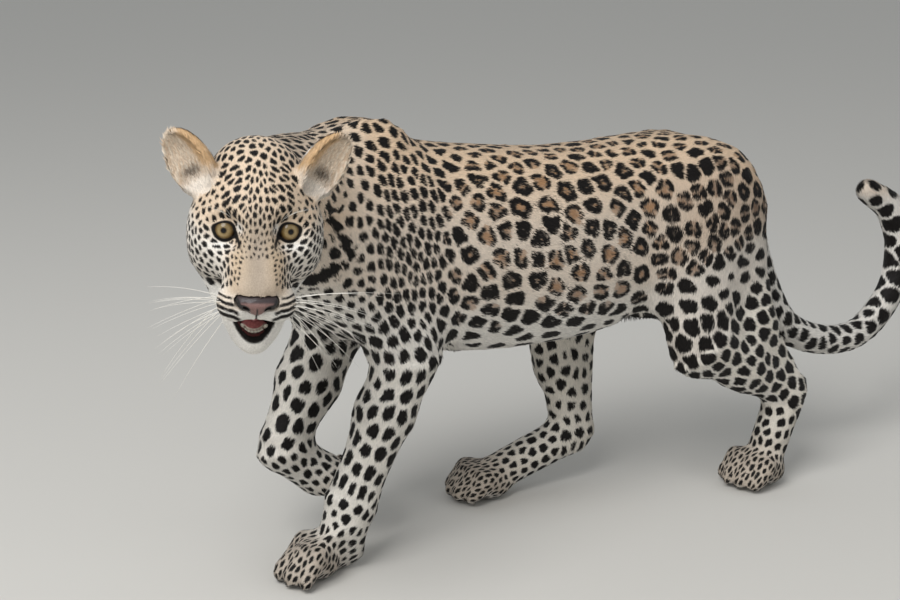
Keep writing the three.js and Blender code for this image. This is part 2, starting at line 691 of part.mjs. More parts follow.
// Looks along the gaze of one eye from its centre
function eyeFrame(s) {
  const axis = new THREE.Vector3(...GAZE).multiply(new THREE.Vector3(s, 1, 1)).normalize();
  const side = new THREE.Vector3(1, 0, 0).projectOnPlane(axis).normalize();
  return new THREE.Matrix4().makeBasis(side, axis.clone().cross(side), axis)
    .setPosition(s * EYE_AT[0], EYE_AT[1], EYE_AT[2]);
}

// The slit between the lids: an almond with its inner corner drawn down towards the nose
function lidOpening(s) {
  const almond = new THREE.Shape();
  almond.moveTo(s * 12.5, 2.5);
  almond.bezierCurveTo(s * 8, 15.5, s * -6, 15, s * -13.5, -6);
  almond.bezierCurveTo(s * -6, -15.5, s * 9, -13.5, s * 12.5, 2.5);
  const prism = new THREE.ExtrudeGeometry(almond, { depth: 40, bevelEnabled: false, curveSegments: 6 });
  return headSolid(prism.applyMatrix4(eyeFrame(s)));
}

const ballOf = (s, radius) => headSolid(new THREE.SphereGeometry(radius, 14, 9).applyMatrix4(eyeFrame(s)));

// The space that the lower jaw swings in: below the line of the bite and ahead of the hinge
function jawSpace(grow) {
  const run = 170;
  const drop = run * Math.tan(BITE_ANGLE);
  const shape = new THREE.Shape();
  shape.moveTo(JAW_HINGE[2] - grow, JAW_HINGE[1] + grow);
  shape.lineTo(JAW_HINGE[2] - grow, -220);
  shape.lineTo(JAW_HINGE[2] + run, -220);
  shape.lineTo(JAW_HINGE[2] + run, JAW_HINGE[1] - drop + grow);
  const block = new THREE.ExtrudeGeometry(shape, { depth: 240, bevelEnabled: false });
  const toHead = new THREE.Matrix4().makeBasis(
    new THREE.Vector3(0, 0, 1), new THREE.Vector3(0, 1, 0), new THREE.Vector3(-1, 0, 0));
  return headSolid(block.translate(0, 0, -120).applyMatrix4(toHead));
}

// An ear: a rounded cup open to the front and outside, thin at the rim and thick at its root in the head
const EAR = { root: [55, 20, -46], tip: [86, 66, -70], wide: 26, tall: 44, deep: 17, wall: 4.5 };
function earFrame(s) {
  const mirrored = new THREE.Vector3(s, 1, 1);
  const along = new THREE.Vector3(...less(EAR.tip, EAR.root)).normalize();
  const open = new THREE.Vector3(0.42, 0.28, 0.86).projectOnPlane(along).normalize().multiply(mirrored);
  along.multiply(mirrored);
  return new THREE.Matrix4().makeBasis(along.clone().cross(open), along, open)
    .setPosition(EAR.root[0] * s, EAR.root[1], EAR.root[2]);
}

function earOf(s, grow, hollow) {
  const shell = (radii, at, grain) => headSolid(new THREE.SphereGeometry(1, ...grain)
    .scale(...radii.map((r) => r + grow)).translate(...at).applyMatrix4(earFrame(s)));
  const { wide, tall, deep, wall } = EAR;
  const whole = shell([wide, tall, deep], [0, tall / 2, 0], [18, 12]);
  const cup = shell([wide - wall, tall - 7, deep + 1], [0, tall / 2 + 4, 13], [16, 10]);
  const length = new THREE.Vector3().setFromMatrixColumn(earFrame(s), 1);
  const along = length.transformDirection(headFrame).toArray();
  const root = headPoint([EAR.root[0] * s, EAR.root[1], EAR.root[2]]);
  return (hollow ? whole.subtract(cup) : whole).trimByPlane(along, dot(along, root) - 8 - grow);
}

// The leather of the nose, with its two nostrils
const noseField = (p) => {
  const q = inHead(p);
  const pad = ellipsoid([0, -34.5, 73], [19.5, 8, 11]);
  const drop = ellipsoid([0, -40, 76], [8, 9.5, 8]);
  const wing = paired(ellipsoid([14.5, -36.5, 69], [8, 6.5, 11]));
  return soften(soften(pad(q), wing(q), 5), drop(q), 5);
};
const nostril = (s) => headSolid(new THREE.SphereGeometry(1, 12, 8)
  .scale(4.5, 2.6, 9).rotateZ(s * 0.5).translate(s * 11, -37.5, 83));

// Tongue and lower teeth, in bite places: they lie on the floor of the mouth
const fromBite = ([s, u, f]) => swing([s, JAW_HINGE[1] + u, JAW_HINGE[2] + f], -BITE_ANGLE);
const biteFrame = () => {
  const [o, x, y, z] = [[0, 0, 0], [1, 0, 0], [0, 1, 0], [0, 0, 1]].map(fromBite);
  const axes = [x, y, z].map((p) => new THREE.Vector3(...less(p, o)));
  return new THREE.Matrix4().makeBasis(...axes).setPosition(...o);
};
const biteSolid = (geometry) => headSolid(geometry.applyMatrix4(biteFrame()));
const tongueOf = (grow) => biteSolid(new THREE.SphereGeometry(1, 12, 8)
  .scale(14 + grow, 6 + grow, 30 + grow).translate(0, -21.5, 75.5));

// Six small incisors between two canines on a low ridge of gum
function lowerTeeth(grow) {
  const tooth = (along, tall, wide) => {
    const turn = along / 17;
    return biteSolid(new THREE.SphereGeometry(1, 5, 4).scale(wide + grow, tall + grow, wide + grow)
      .translate(Math.sin(turn) * 16, -29 + tall, 99 + Math.cos(turn) * 16));
  };
  const gum = biteSolid(new THREE.SphereGeometry(1, 12, 6).scale(17 + grow, 6 + grow, 9 + grow)
    .translate(0, -31, 107));
  const incisors = [-2.5, -1.5, -0.5, 0.5, 1.5, 2.5].map((i) => tooth(i * 3.9, 4.5, 2.2));
  const canines = [-1, 1].map((i) => tooth(i * 15.5, 7, 3.2));
  return [...incisors, ...canines].reduce((row, one) => row.add(one), gum);
}

function buildHead() {
  const space = box(add(HEAD_AT, [-150, -150, -160]), add(HEAD_AT, [170, 190, 150]));
  const field = melted(near(bodyMasses, space));
  const hollowed = (p) => Math.max(field(p), -insideMouth(p));
  const raw = keep(solidOf(surfaceOf(hollowed, space, HEAD_STEP)), CUTS.skull);
  const skull = bodyAt(raw, headPoint([0, 0, -40]));
  const noseBox = new THREE.Box3().setFromCenterAndSize(
    new THREE.Vector3(...headPoint([0, -35, 72])), new THREE.Vector3(70, 70, 70));
  const nose = solidOf(surfaceOf(noseField, noseBox, NOSE_STEP));
  const noseRoom = solidOf(surfaceOf((p) => noseField(p) - 3 * GAP, noseBox, NOSE_STEP));
  const openings = [-1, 1].flatMap((s) => [lidOpening(s), ballOf(s, EYE_RADIUS + GAP)]);
  const lids = [-1, 1].map((s) => ballOf(s, EYE_RADIUS + LID));
  const capped = lids.reduce((solid, lid) => solid.add(lid), skull);
  const earRooms = [-1, 1].map((s) => earOf(s, GAP, false));
  show('head', largest(without(capped, [...openings, ...earRooms, noseRoom, jawSpace(GAP)])), SAND);
  const jaw = bodyAt(skull.intersect(jawSpace(0)), headPoint([0, -112, 30]));
  show('jaw', largest(without(jaw, [tongueOf(GAP), lowerTeeth(GAP)])), PALE);
  show('tongue', tongueOf(0), TONGUE_PINK, 0.4);
  show('teeth_lower', lowerTeeth(0), IVORY, 0.35);
  show('nose', largest(without(nose, [-1, 1].map(nostril))), NOSE_BROWN, 0.5);
  [['left', 1], ['right', -1]].forEach(([name, s]) => {
    show(`eye_${name}`, ballOf(s, EYE_RADIUS), IRIS, 0.1);
    show(`ear_${name}`, largest(earOf(s, 0, true)), SAND);
  });
}

buildTrunk();
buildTail();
sides.forEach(buildForeLeg);
sides.forEach(buildHindLeg);
buildHead();

// The origin lies under the middle of the animal, on the floor
const whole = new THREE.Box3().setFromObject(group);
const middle = whole.getCenter(new THREE.Vector3());
group.position.set(-middle.x, -middle.y, -whole.min.z);
export default group;
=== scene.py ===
"""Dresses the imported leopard: one skin, a coat of short tufts, eyes, nose, mouth and whiskers."""

import logging
import math
from dataclasses import dataclass
from enum import Enum

import bmesh
import bpy
import numpy as np
from mathutils import Matrix, Vector
from mathutils.bvhtree import BVHTree
from mathutils.kdtree import KDTree


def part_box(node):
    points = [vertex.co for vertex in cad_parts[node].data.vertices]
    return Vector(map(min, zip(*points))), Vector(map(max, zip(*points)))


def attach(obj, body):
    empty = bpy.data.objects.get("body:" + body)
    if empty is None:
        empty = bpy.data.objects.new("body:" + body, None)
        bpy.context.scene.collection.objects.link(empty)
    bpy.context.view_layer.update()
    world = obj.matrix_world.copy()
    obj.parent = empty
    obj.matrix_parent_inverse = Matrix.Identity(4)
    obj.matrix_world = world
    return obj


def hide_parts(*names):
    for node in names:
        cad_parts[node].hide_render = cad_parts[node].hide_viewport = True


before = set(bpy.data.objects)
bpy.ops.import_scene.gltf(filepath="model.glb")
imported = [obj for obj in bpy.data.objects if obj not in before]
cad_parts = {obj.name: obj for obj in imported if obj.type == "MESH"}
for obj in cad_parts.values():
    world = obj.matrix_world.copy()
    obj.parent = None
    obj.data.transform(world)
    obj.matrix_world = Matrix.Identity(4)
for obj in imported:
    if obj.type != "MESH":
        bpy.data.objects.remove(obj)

LOG = logging.getLogger("leopard")
Array = np.ndarray
Form = bmesh.types.BMesh
Mesh = bpy.types.Mesh
Piece = bpy.types.Object
Tree = bpy.types.NodeTree

MM = 0.001
# Corners of a CAD node that lie closer than this are one corner
WELD = 0.01 * MM
SEED = 20261


class Side(Enum):
    """The animal's own left and right, as the sign of a head place's first number."""

    LEFT = 1.0
    RIGHT = -1.0


def pair(*parts: str) -> tuple:
    """The node names of parts that stand on the left and on the right."""
    return tuple(f"{part}_{side.name.lower()}" for part in parts for side in Side)


TAIL = ("tail_1", "tail_2", "tail_3", "tail_4")
PAWS = pair("forepaw", "hind_foot")
FINE = ("head", "jaw", *pair("ear"))
HIND = ("belly", "rump", *TAIL, *pair("thigh", "shank", "hind_foot"))
FORE = ("chest", "neck", *pair("upper_arm", "forearm", "forepaw"))
FLESH = (
    "chest", "belly", "rump", "neck", *TAIL,
    *pair("upper_arm", "forearm", "forepaw", "thigh", "shank", "hind_foot"), *FINE,
)

# The line of the bones down each leg and the tail, in the body's own millimetres
BONES = {
    ("upper_arm_left", "forearm_left", "forepaw_left"): (
        (-262, -68, 395), (-188, -70, 262), (-256, -58, 90), (-330, -70, 20)),
    ("upper_arm_right", "forearm_right", "forepaw_right"): (
        (-272, 68, 392), (-226, 72, 258), (-300, 50, 131), (-225, 52, 40)),
    ("thigh_left", "shank_left", "hind_foot_left"): (
        (268, -50, 400), (240, -84, 224), (404, -66, 126), (320, -70, 20)),
    ("thigh_right", "shank_right", "hind_foot_right"): (
        (262, 50, 398), (104, 80, 262), (138, 66, 72), (-40, 74, 20)),
    TAIL: ((363, -3, 360), (440, -9, 204), (590, -2, 172), (664, 8, 294), (600, 6, 374)),
}
RAYS = {
    name: (np.array(start, float), np.array(end, float))
    for names, line in BONES.items() for name, start, end in zip(names, line, line[1:])
}
# Height of the belly and of the back along the spine, in the same millimetres
SPINE_X = (-312, -215, -60, 130, 262, 352)
BELLY_Z = (330, 262, 235, 240, 305, 345)
BACK_Z = (470, 530, 500, 491, 486, 420)


def linear(hexa: str) -> Array:
    """Turns an sRGB hex value into linear red, green and blue."""
    srgb = np.array([int(hexa[i:i + 2], 16) / 255 for i in (0, 2, 4)])
    return np.where(srgb <= 0.04045, srgb / 12.92, ((srgb + 0.055) / 1.055) ** 2.4)


def smooth(low: float, high: float, value: Array) -> Array:
    """Rises smoothly from 0 at low to 1 at high."""
    t = np.clip((value - low) / (high - low), 0, 1)
    return t * t * (3 - 2 * t)


def mix(a: Array, b: Array, share: Array) -> Array:
    """Blends rows of a towards rows of b by a share for each row."""
    return a + (b - a) * np.asarray(share)[..., None]


def unit(rows: Array) -> Array:
    """Scales each row to length one."""
    return rows / np.maximum(np.linalg.norm(rows, axis=-1, keepdims=True), 1e-12)


@dataclass(frozen=True)
class HeadFrame:
    """Axes of the head, from the point midway between the eyes; its own lengths are millimetres."""

    origin: Array
    side: Array
    up: Array
    ahead: Array

    @classmethod
    def from_eyes(cls, yaw: float = 67.5, pitch: float = 28.5, roll: float = -3.5) -> "HeadFrame":
        """Finds the head from the two eye nodes.

        Args:
            yaw: how far the head is turned to the camera, in degrees.
            pitch: how far it looks down.
            roll: how far it leans.

        Returns:
            The frame of the head.
        """
        yaw, pitch, roll = (math.radians(a) for a in (yaw, pitch, roll))
        ahead = np.array([
            -math.cos(yaw) * math.cos(pitch), -math.sin(yaw) * math.cos(pitch), -math.sin(pitch)])
        level = unit(np.cross([0.0, 0.0, 1.0], ahead))
        upright = np.cross(ahead, level)
        side = level * math.cos(roll) + upright * math.sin(roll)
        up = upright * math.cos(roll) - level * math.sin(roll)
        eyes = [np.mean([list(c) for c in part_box(n)], axis=0) for n in ("eye_left", "eye_right")]
        middle = (eyes[0] + eyes[1]) / 2
        return cls(middle + up * 4 * MM + ahead * 5 * MM, side, up, ahead)

    @property
    def axes(self) -> Array:
        """The three axes as rows."""
        return np.stack([self.side, self.up, self.ahead])

    def local(self, points: Array) -> Array:
        """Turns places in metres into head places in millimetres."""
        return (points - self.origin) @ self.axes.T / MM

    def world(self, places: Array) -> Array:
        """Turns head places in millimetres into places in metres."""
        return self.origin + (np.asarray(places, float) * MM) @ self.axes


HEAD = HeadFrame.from_eyes()
# The head stands here in the body's own millimetres, so this is how far the part was moved
SHIFT = HEAD.origin - np.array([-434, -210, 470]) * MM


def body_mm(points: Array) -> Array:
    """Turns places in metres into the body's own millimetres."""
    return (points - SHIFT) / MM


def body_m(places: Array) -> Array:
    """Turns the body's own millimetres into places in metres."""
    return np.asarray(places, float) * MM + SHIFT


def on_profile(local: Array) -> tuple:
    """Head places as columns: side, up, ahead, and the height across the slope of the face."""
    s, u, f = local.T
    return s, u, f, 0.758 * u - 0.65 * f


@dataclass(frozen=True)
class Eye:
    """Where an eye sits in the head, which way it looks, and the slit between its lids."""

    side: Side
    radius: float = 14.5
    seat: tuple = (31.5, -4.0, -5.0)
    gaze: tuple = (0.2, 0.5, 0.84)
    inner_corner: float = 203.0
    outer_corner: float = 12.0

    def axes(self) -> Array:
        """Works out the eye's own axes.

        Returns:
            Rows of head places: across towards the outside, up, and along the gaze.
        """
        mirror = self.side.value
        look = unit(np.array(self.gaze) * np.array([mirror, 1, 1]))
        across = unit(np.array([mirror, 0.0, 0.0]) - look * look[0] * mirror)
        return np.stack([across, np.cross(look, across) * mirror, look])

    def centre(self) -> Array:
        """The middle of the ball, in head places."""
        return np.array(self.seat) * np.array([self.side.value, 1, 1])

    def local(self, places: Array) -> Array:
        """Turns head places into eye places: outward, up, along the gaze."""
        return (places - self.centre()) @ self.axes().T

    def head_places(self, eye_places: Array) -> Array:
        """Turns eye places back into head places."""
        return np.asarray(eye_places) @ self.axes() + self.centre()

    def opening(self, turn: Array) -> Array:
        """Finds the edge of the slit between the lids, longer at its two corners.

        Args:
            turn: directions in the eye's plane, in radians from outward.

        Returns:
            The radius of the slit there, in mm.
        """
        inner = np.abs(np.angle(np.exp(1j * (turn - math.radians(self.inner_corner)))))
        outer = np.abs(np.angle(np.exp(1j * (turn - math.radians(self.outer_corner)))))
        lower = np.clip(-np.sin(turn), 0, 1)
        upper = np.clip(np.sin(turn + 0.25), 0, 1) ** 2
        corners = 4.4 * np.exp(-(inner / 0.27) ** 2) + 1.9 * np.exp(-(outer / 0.34) ** 2)
        return 10.4 + corners + 0.2 * lower - 2.6 * upper

    def slit(self, places: Array) -> Array:
        """Measures how far head places lie outside the slit, seen along the gaze.

        Args:
            places: head places.

        Returns:
            How far each lies outside, in mm, and below 0 inside.
        """
        q = self.local(places)
        off = np.hypot(q[:, 0], q[:, 1]) - self.opening(np.arctan2(q[:, 1], q[:, 0]))
        return np.where(q[:, 2] > -2, off, 60.0)


@dataclass(frozen=True)
class Mouth:
    """The open mouth: two lips that part from a hinge behind the cheek, and a hollow behind them."""

    bite: float = math.radians(28.5)
    hinge: tuple = (-28.0, -45.0)
    corner: float = 56.0
    slope: float = 0.18
    hollow_over: float = -13.0
    hollow_ahead: float = 84.0
    hollow_radius: float = 21.0
    hollow_length: float = 39.0

    def along_bite(self, places: Array) -> Array:
        """Turns head places so that the lips run straight ahead from the hinge.

        Args:
            places: head places.

        Returns:
            Rows: side, over the bite, ahead of the hinge.
        """
        up, ahead = places[:, 1] - self.hinge[0], places[:, 2] - self.hinge[1]
        c, d = math.cos(self.bite), math.sin(self.bite)
        return np.stack([places[:, 0], up * c + ahead * d, ahead * c - up * d], axis=1)

    def lower(self, local: Array, depth: Array) -> None:
        """Moves head places down across the bite by a depth for each, in place."""
        local[:, 1] -= depth * math.cos(self.bite)
        local[:, 2] -= depth * math.sin(self.bite)

    def outside(self, places: Array) -> Array:
        """Measures how far head places lie outside the open mouth.

        Args:
            places: head places in mm.

        Returns:
            About how far each lies outside, in mm, and below 0 inside.
        """
        s, over, ahead = self.along_bite(places).T
        wedge = np.maximum(np.abs(over) - (ahead - self.corner) * self.slope, self.corner - ahead)
        r = self.hollow_radius
        q = np.stack([
            s / r, (over - self.hollow_over) / r, (ahead - self.hollow_ahead) / self.hollow_length])
        return np.minimum(wedge, (np.sqrt((q ** 2).sum(0)) - 1) * r)


EYES = {"eye_left": Eye(Side.LEFT), "eye_right": Eye(Side.RIGHT)}
MOUTH = Mouth()


def object_from(name: str, mesh: Mesh) -> Piece:
    """Links a mesh into the scene under a name."""
    piece = bpy.data.objects.new(name, mesh)
    bpy.context.scene.collection.objects.link(piece)
    return piece


def mesh_from(form: Form, name: str) -> Mesh:
    """Turns a bmesh into a mesh and frees it.

    Args:
        form: the bmesh.
        name: the mesh's name.

    Returns:
        The mesh.
    """
    mesh = bpy.data.meshes.new(name)
    form.to_mesh(mesh)
    form.free()
    return mesh


def welded(node: str) -> Form:
    """Copies a CAD node's loose triangles into a bmesh and joins their corners.

    Args:
        node: the node's name.

    Returns:
        The bmesh.
    """
    form = bmesh.new()
    form.from_mesh(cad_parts[node].data)
    bmesh.ops.remove_doubles(form, verts=form.verts, dist=WELD)
    return form


def bake(piece: Piece) -> None:
    """Applies every modifier of a piece to its mesh.

    Args:
        piece: the piece.
    """
    graph = bpy.context.evaluated_depsgraph_get()
    mesh = bpy.data.meshes.new_from_object(piece.evaluated_get(graph), depsgraph=graph)
    old = piece.data
    piece.modifiers.clear()
    piece.data = mesh
    bpy.data.meshes.remove(old)


def fuse(piece: Piece, voxel: float, rounded: bool = False) -> None:
    """Gives a piece one closed surface of small even faces.

    Args:
        piece: the piece, of one or more closed shapes.
        voxel: the size of the faces, in metres.
        rounded: whether the new faces are shaded smooth.
    """
    melt = piece.modifiers.new("fuse", "REMESH")
    melt.mode, melt.voxel_size, melt.use_smooth_shade = "VOXEL", voxel, rounded
    bake(piece)


def read(items: bpy.types.bpy_prop_collection, key: str, width: int = 1, kind: type = float) -> Array:
    """Reads one property of every item in a collection.

    Args:
        items: the vertices, edges, corners or faces of a mesh, or a layer's data.
        key: the property.
        width: how many numbers it has.
        kind: the type of the numbers.

    Returns:
        A number for each item, or a row where the property has more than one.
    """
    out = np.empty(len(items) * width, dtype=kind)
    items.foreach_get(key, out)
    return out.reshape(-1, width) if width > 1 else out


def places_of(mesh: Mesh) -> Array:
    """The vertices of a mesh as rows."""
    return read(mesh.vertices, "co", 3)


def edges_of(mesh: Mesh) -> Array:
    """The edges of a mesh as pairs of vertex numbers."""
    return read(mesh.edges, "vertices", 2, np.int64)


def put_places(mesh: Mesh, points: Array) -> None:
    """Writes rows back to the vertices of a mesh."""
    mesh.vertices.foreach_set("co", np.ascontiguousarray(points, dtype=np.float32).ravel())
    mesh.update()


def spread(values: Array, edges: Array, share: float | Array, rounds: int) -> Array:
    """Moves each vertex's values towards the mean of its neighbours' values.

    Args:
        values: a number or a row for each vertex.
        edges: pairs of vertex numbers.
        share: how far each vertex goes towards the mean in a round.
        rounds: how many rounds.

    Returns:
        The new values.
    """
    count = len(values)
    a, b = edges.T
    degree = np.maximum(np.bincount(a, minlength=count) + np.bincount(b, minlength=count), 1)
    out = values.copy().reshape(count, -1)
    for _ in range(rounds):
        for k in range(out.shape[1]):
            column = out[:, k]
            total = np.bincount(a, column[b], count) + np.bincount(b, column[a], count)
            out[:, k] = column + share * (total / degree - column)
    return out.reshape(values.shape)


def set_attribute(mesh: Mesh, name: str, rows: Array) -> None:
    """Stores colours or numbers on the vertices of a mesh.

    Args:
        mesh: the mesh.
        name: the attribute that a material reads.
        rows: a number for each vertex, or a row of red, green and blue.
    """
    rows = np.asarray(rows, dtype=np.float32)
    if rows.ndim == 1:
        mesh.attributes.new(name, "FLOAT", "POINT").data.foreach_set("value", rows)
        return
    full = np.concatenate([rows, np.ones((len(rows), 1), np.float32)], axis=1)
    mesh.attributes.new(name, "FLOAT_COLOR", "POINT").data.foreach_set("color", full.ravel())


def tree_of(points: Array) -> KDTree:
    """Builds a search tree over places.

    Args:
        points: the places.

    Returns:
        The tree, which finds each place by its number.
    """
    tree = KDTree(len(points))
    for number, point in enumerate(points):
        tree.insert(point, number)
    tree.balance()
    return tree


def nearest(points: Array, many: int, targets: Array) -> Array:
    """Finds the targets nearest to each point.

    Args:
        points: places to start from.
        many: how many targets to find for each.
        targets: the places to search.

    Returns:
        A row of numbers of targets for each point, nearest first.
    """
    tree = tree_of(targets)
    return np.array([[found[1] for found in tree.find_n(p, many)] for p in points])


@dataclass(frozen=True)
class Fur:
    """Colours of a leopard's coat: tawny above, cream on the flanks, white below, near-black marks."""

    back: str = "dcc1a3"
    flank: str = "d5c7b7"
    belly: str = "dcd7cf"
    haunch: str = "c3ad97"
    leg: str = "d9d2c6"
    paw: str = "b3a392"
    bridge: str = "ab9c8b"
    bridge_side: str = "ceb492"
    crown: str = "d9c3aa"
    cheek: str = "e2dacf"
    white: str = "ece8e1"
    pad: str = "dccfbf"
    # The black of the ear's back, also the painted shade in the hollow of its cup
    ear_back: str = "2a211b"
    ear_rim: str = "c9a478"
    ear_cup: str = "ccb093"
    ear_hair: str = "eadfce"
    mark: str = "0f0b09"
    heart: str = "96652f"
    heart_dark: str = "5c3b24"
    lip: str = "100b0a"
    mouth: str = "5a2a2a"

    def flat(self, name: str, count: int) -> Array:
        """A number of rows of one linear colour."""
        return np.tile(linear(getattr(self, name)), (count, 1))

    def over(self, colour: Array, *layers: tuple) -> Array:
        """Lays colours over one another.

        Args:
            colour: the colours to start from, a row for each point.
            layers: pairs of a colour's name and its share for each point, lowest first.

        Returns:
            The new colours.
        """
        for name, share in layers:
            colour = mix(colour, linear(getattr(self, name)), share)
        return colour


FUR = Fur()


def add_node(tree: Tree, kind: str, links: dict, **settings) -> bpy.types.Node:
    """Adds a node, sets its properties and plain inputs, and links the rest.

    Args:
        tree: the material's node tree.
        kind: the node's type name.
        links: input name to a value or to another node's output.
        settings: properties of the node.

    Returns:
        The new node.
    """
    node = tree.nodes.new(kind)
    for key, value in settings.items():
        setattr(node, key, value)
    for key, value in links.items():
        if isinstance(value, bpy.types.NodeSocket):
            tree.links.new(value, node.inputs[key])
        else:
            node.inputs[key].default_value = value
    return node


@dataclass(frozen=True)
class Finish:
    """A material of one shader, which each real finish feeds in its own way."""

    name: str

    def feed(self, tree: Tree) -> dict:
        """Builds the nodes of the finish.

        Args:
            tree: the material's node tree.

        Returns:
            Input name of the shader to a value or to a node's output.
        """
        raise NotImplementedError

    def make(self) -> bpy.types.Material:
        """Builds the material the first time and finds it after that.

        Returns:
            The material.
        """
        if self.name in bpy.data.materials:
            return bpy.data.materials[self.name]
        material = bpy.data.materials.new(self.name)
        material.use_nodes = True
        tree = material.node_tree
        tree.nodes.clear()
        shader = add_node(tree, "ShaderNodeBsdfPrincipled", self.feed(tree))
        add_node(tree, "ShaderNodeOutputMaterial", {"Surface": shader.outputs["BSDF"]})
        return material


@dataclass(frozen=True)
class ShortFur(Finish):
    """Guard hairs and underfur: soft and matt, with a low sheen where the hairs' sides catch the light."""

    roughness: float = 0.62
    strand_mm: float = 1.2
    bump: float = 0.25

    def feed(self, tree: Tree) -> dict:
        """Breaks the piece's own coat colours into strands, as wide as they have to be to show."""
        coat = add_node(tree, "ShaderNodeAttribute", {}, attribute_name="coat")
        place = add_node(tree, "ShaderNodeTexCoord", {}).outputs["Object"]
        strands = add_node(tree, "ShaderNodeTexNoise", {
            "Vector": place, "Scale": 1 / (self.strand_mm * MM), "Detail": 2.0, "Roughness": 0.6})
        shade = add_node(tree, "ShaderNodeMapRange", {
            "Value": strands.outputs["Fac"], "From Min": 0.3, "From Max": 0.7,
            "To Min": 0.86, "To Max": 1.12})
        tint = add_node(tree, "ShaderNodeVectorMath", {
            0: coat.outputs["Color"], "Scale": shade.outputs["Result"]}, operation="SCALE")
        height = add_node(tree, "ShaderNodeBump", {
            "Height": strands.outputs["Fac"], "Strength": self.bump, "Distance": 0.6 * MM})
        return {
            "Base Color": tint.outputs["Vector"], "Normal": height.outputs["Normal"],
            "Roughness": self.roughness, "Specular IOR Level": 0.2,
            "Sheen Weight": 0.03, "Sheen Roughness": 0.5,
        }


@dataclass(frozen=True)
class WetTissue(Finish):
    """Bare damp skin or enamel: a pebbled grain under a thin film of water."""

    grain_mm: float
    bump_mm: float
    roughness: float = 0.45
    film: float = 0.35

    def feed(self, tree: Tree) -> dict:
        """Pebbles the piece's own colours, with painted shade darkening the hollows between the bumps."""
        place = add_node(tree, "ShaderNodeTexCoord", {}).outputs["Object"]
        colour = add_node(tree, "ShaderNodeAttribute", {}, attribute_name="coat")
        grain = add_node(tree, "ShaderNodeTexVoronoi", {
            "Vector": place, "Scale": 1 / (self.grain_mm * MM)}, feature="F1")
        # Painted shade: the hollows between the pebbles darker than their tops
        shade = add_node(tree, "ShaderNodeMapRange", {
            "Value": grain.outputs["Distance"], "From Min": 0.0, "From Max": 0.9,
            "To Min": 1.1, "To Max": 0.7})
        tint = add_node(tree, "ShaderNodeVectorMath", {
            0: colour.outputs["Color"], "Scale": shade.outputs["Result"]}, operation="SCALE")
        height = add_node(tree, "ShaderNodeBump", {
            "Height": grain.outputs["Distance"], "Strength": 0.6,
            "Distance": self.bump_mm * MM}, invert=True)
        return {
            "Base Color": tint.outputs["Vector"], "Normal": height.outputs["Normal"],
            "Roughness": self.roughness, "Coat Weight": self.film, "Coat Roughness": 0.15,
        }


@dataclass(frozen=True)
class IrisTissue(Finish):
    """Amber-olive iris of fine fibres under a clear wet cornea, which shines sharply."""

    name: str = "leopard_eye"
    radius_mm: float = 14.5
    fibre_mm: float = 1.111
    # Share of the ball's radius and the colour there: pupil, dark edge, iris, dark ring, white
    rings: tuple = (
        (0.0, "060404"), (0.15, "070504"), (0.19, "3d2f1b"), (0.27, "927c54"),
        (0.40, "9c875e"), (0.53, "7a6239"), (0.63, "46351d"), (0.70, "1a120b"), (1.0, "0d0908"),
    )

    def feed(self, tree: Tree) -> dict:
        """Rings the iris by its distance from the axis, and paints the shade of the upper lid over its top, a
        little lighter below.
        """
        off = add_node(tree, "ShaderNodeAttribute", {}, attribute_name="off_axis")
        over = add_node(tree, "ShaderNodeAttribute", {}, attribute_name="over")
        place = add_node(tree, "ShaderNodeTexCoord", {}).outputs["Object"]
        fibre = add_node(tree, "ShaderNodeTexNoise", {
            "Vector": place, "Scale": 1 / (self.fibre_mm * MM), "Detail": 3.0})
        scaled = add_node(tree, "ShaderNodeMath", {
            0: off.outputs["Fac"], 1: self.radius_mm}, operation="DIVIDE")
        ramp = add_node(tree, "ShaderNodeValToRGB", {"Fac": scaled.outputs[0]})
        band = ramp.color_ramp.elements
        while len(band) < len(self.rings):
            band.new(0.5)
        for element, (at, colour) in zip(band, self.rings):
            element.position = at
            element.color = (*linear(colour), 1)
        shade = add_node(tree, "ShaderNodeMapRange", {
            "Value": fibre.outputs["Fac"], "From Min": 0.3, "From Max": 0.7,
            "To Min": 0.8, "To Max": 1.15})
        # Painted shade of the upper lid: the iris darker towards its top, by the height across the ball, and
        # a little lighter at its bottom
        lid = add_node(tree, "ShaderNodeMapRange", {
            "Value": over.outputs["Fac"], "From Min": -4.0, "From Max": 9.0,
            "To Min": 1.08, "To Max": 0.45})
        both = add_node(tree, "ShaderNodeMath", {
            0: shade.outputs["Result"], 1: lid.outputs["Result"]}, operation="MULTIPLY")
        tint = add_node(tree, "ShaderNodeVectorMath", {
            0: ramp.outputs["Color"], "Scale": both.outputs[0]}, operation="SCALE")
        return {
            "Base Color": tint.outputs["Vector"], "Roughness": 0.5, "Specular IOR Level": 0.1,
            "Coat Weight": 1.0, "Coat Roughness": 0.02, "Coat IOR": 1.34,
        }


@dataclass(frozen=True)
class Keratin(Finish):
    """Stiff whisker keratin: white, slightly glossy, a little darker in places."""

    name: str = "keratin_whisker"
    pale: str = "f4f1ea"
    dull: str = "d8d2c6"
    patch_mm: float = 16.667

    def feed(self, tree: Tree) -> dict:
        """Mixes two whites in soft patches along the hair."""
        place = add_node(tree, "ShaderNodeTexCoord", {}).outputs["Object"]
        noise = add_node(tree, "ShaderNodeTexNoise", {
            "Vector": place, "Scale": 1 / (self.patch_mm * MM)})
        tint = add_node(tree, "ShaderNodeMix", {
            "Factor": noise.outputs["Fac"],
            6: (*linear(self.pale), 1), 7: (*linear(self.dull), 1)}, data_type="RGBA")
        return {"Base Color": tint.outputs[2], "Roughness": 0.35}


@dataclass(frozen=True)
class PaleFloor(Finish):
    """A matt painted floor, which takes the soft shadows."""

    name: str = "pale_floor"
    paint: str = "c9c6c0"

    def feed(self, tree: Tree) -> dict:
        """One flat colour."""
        return {"Base Color": (*linear(self.paint), 1), "Roughness": 0.9}


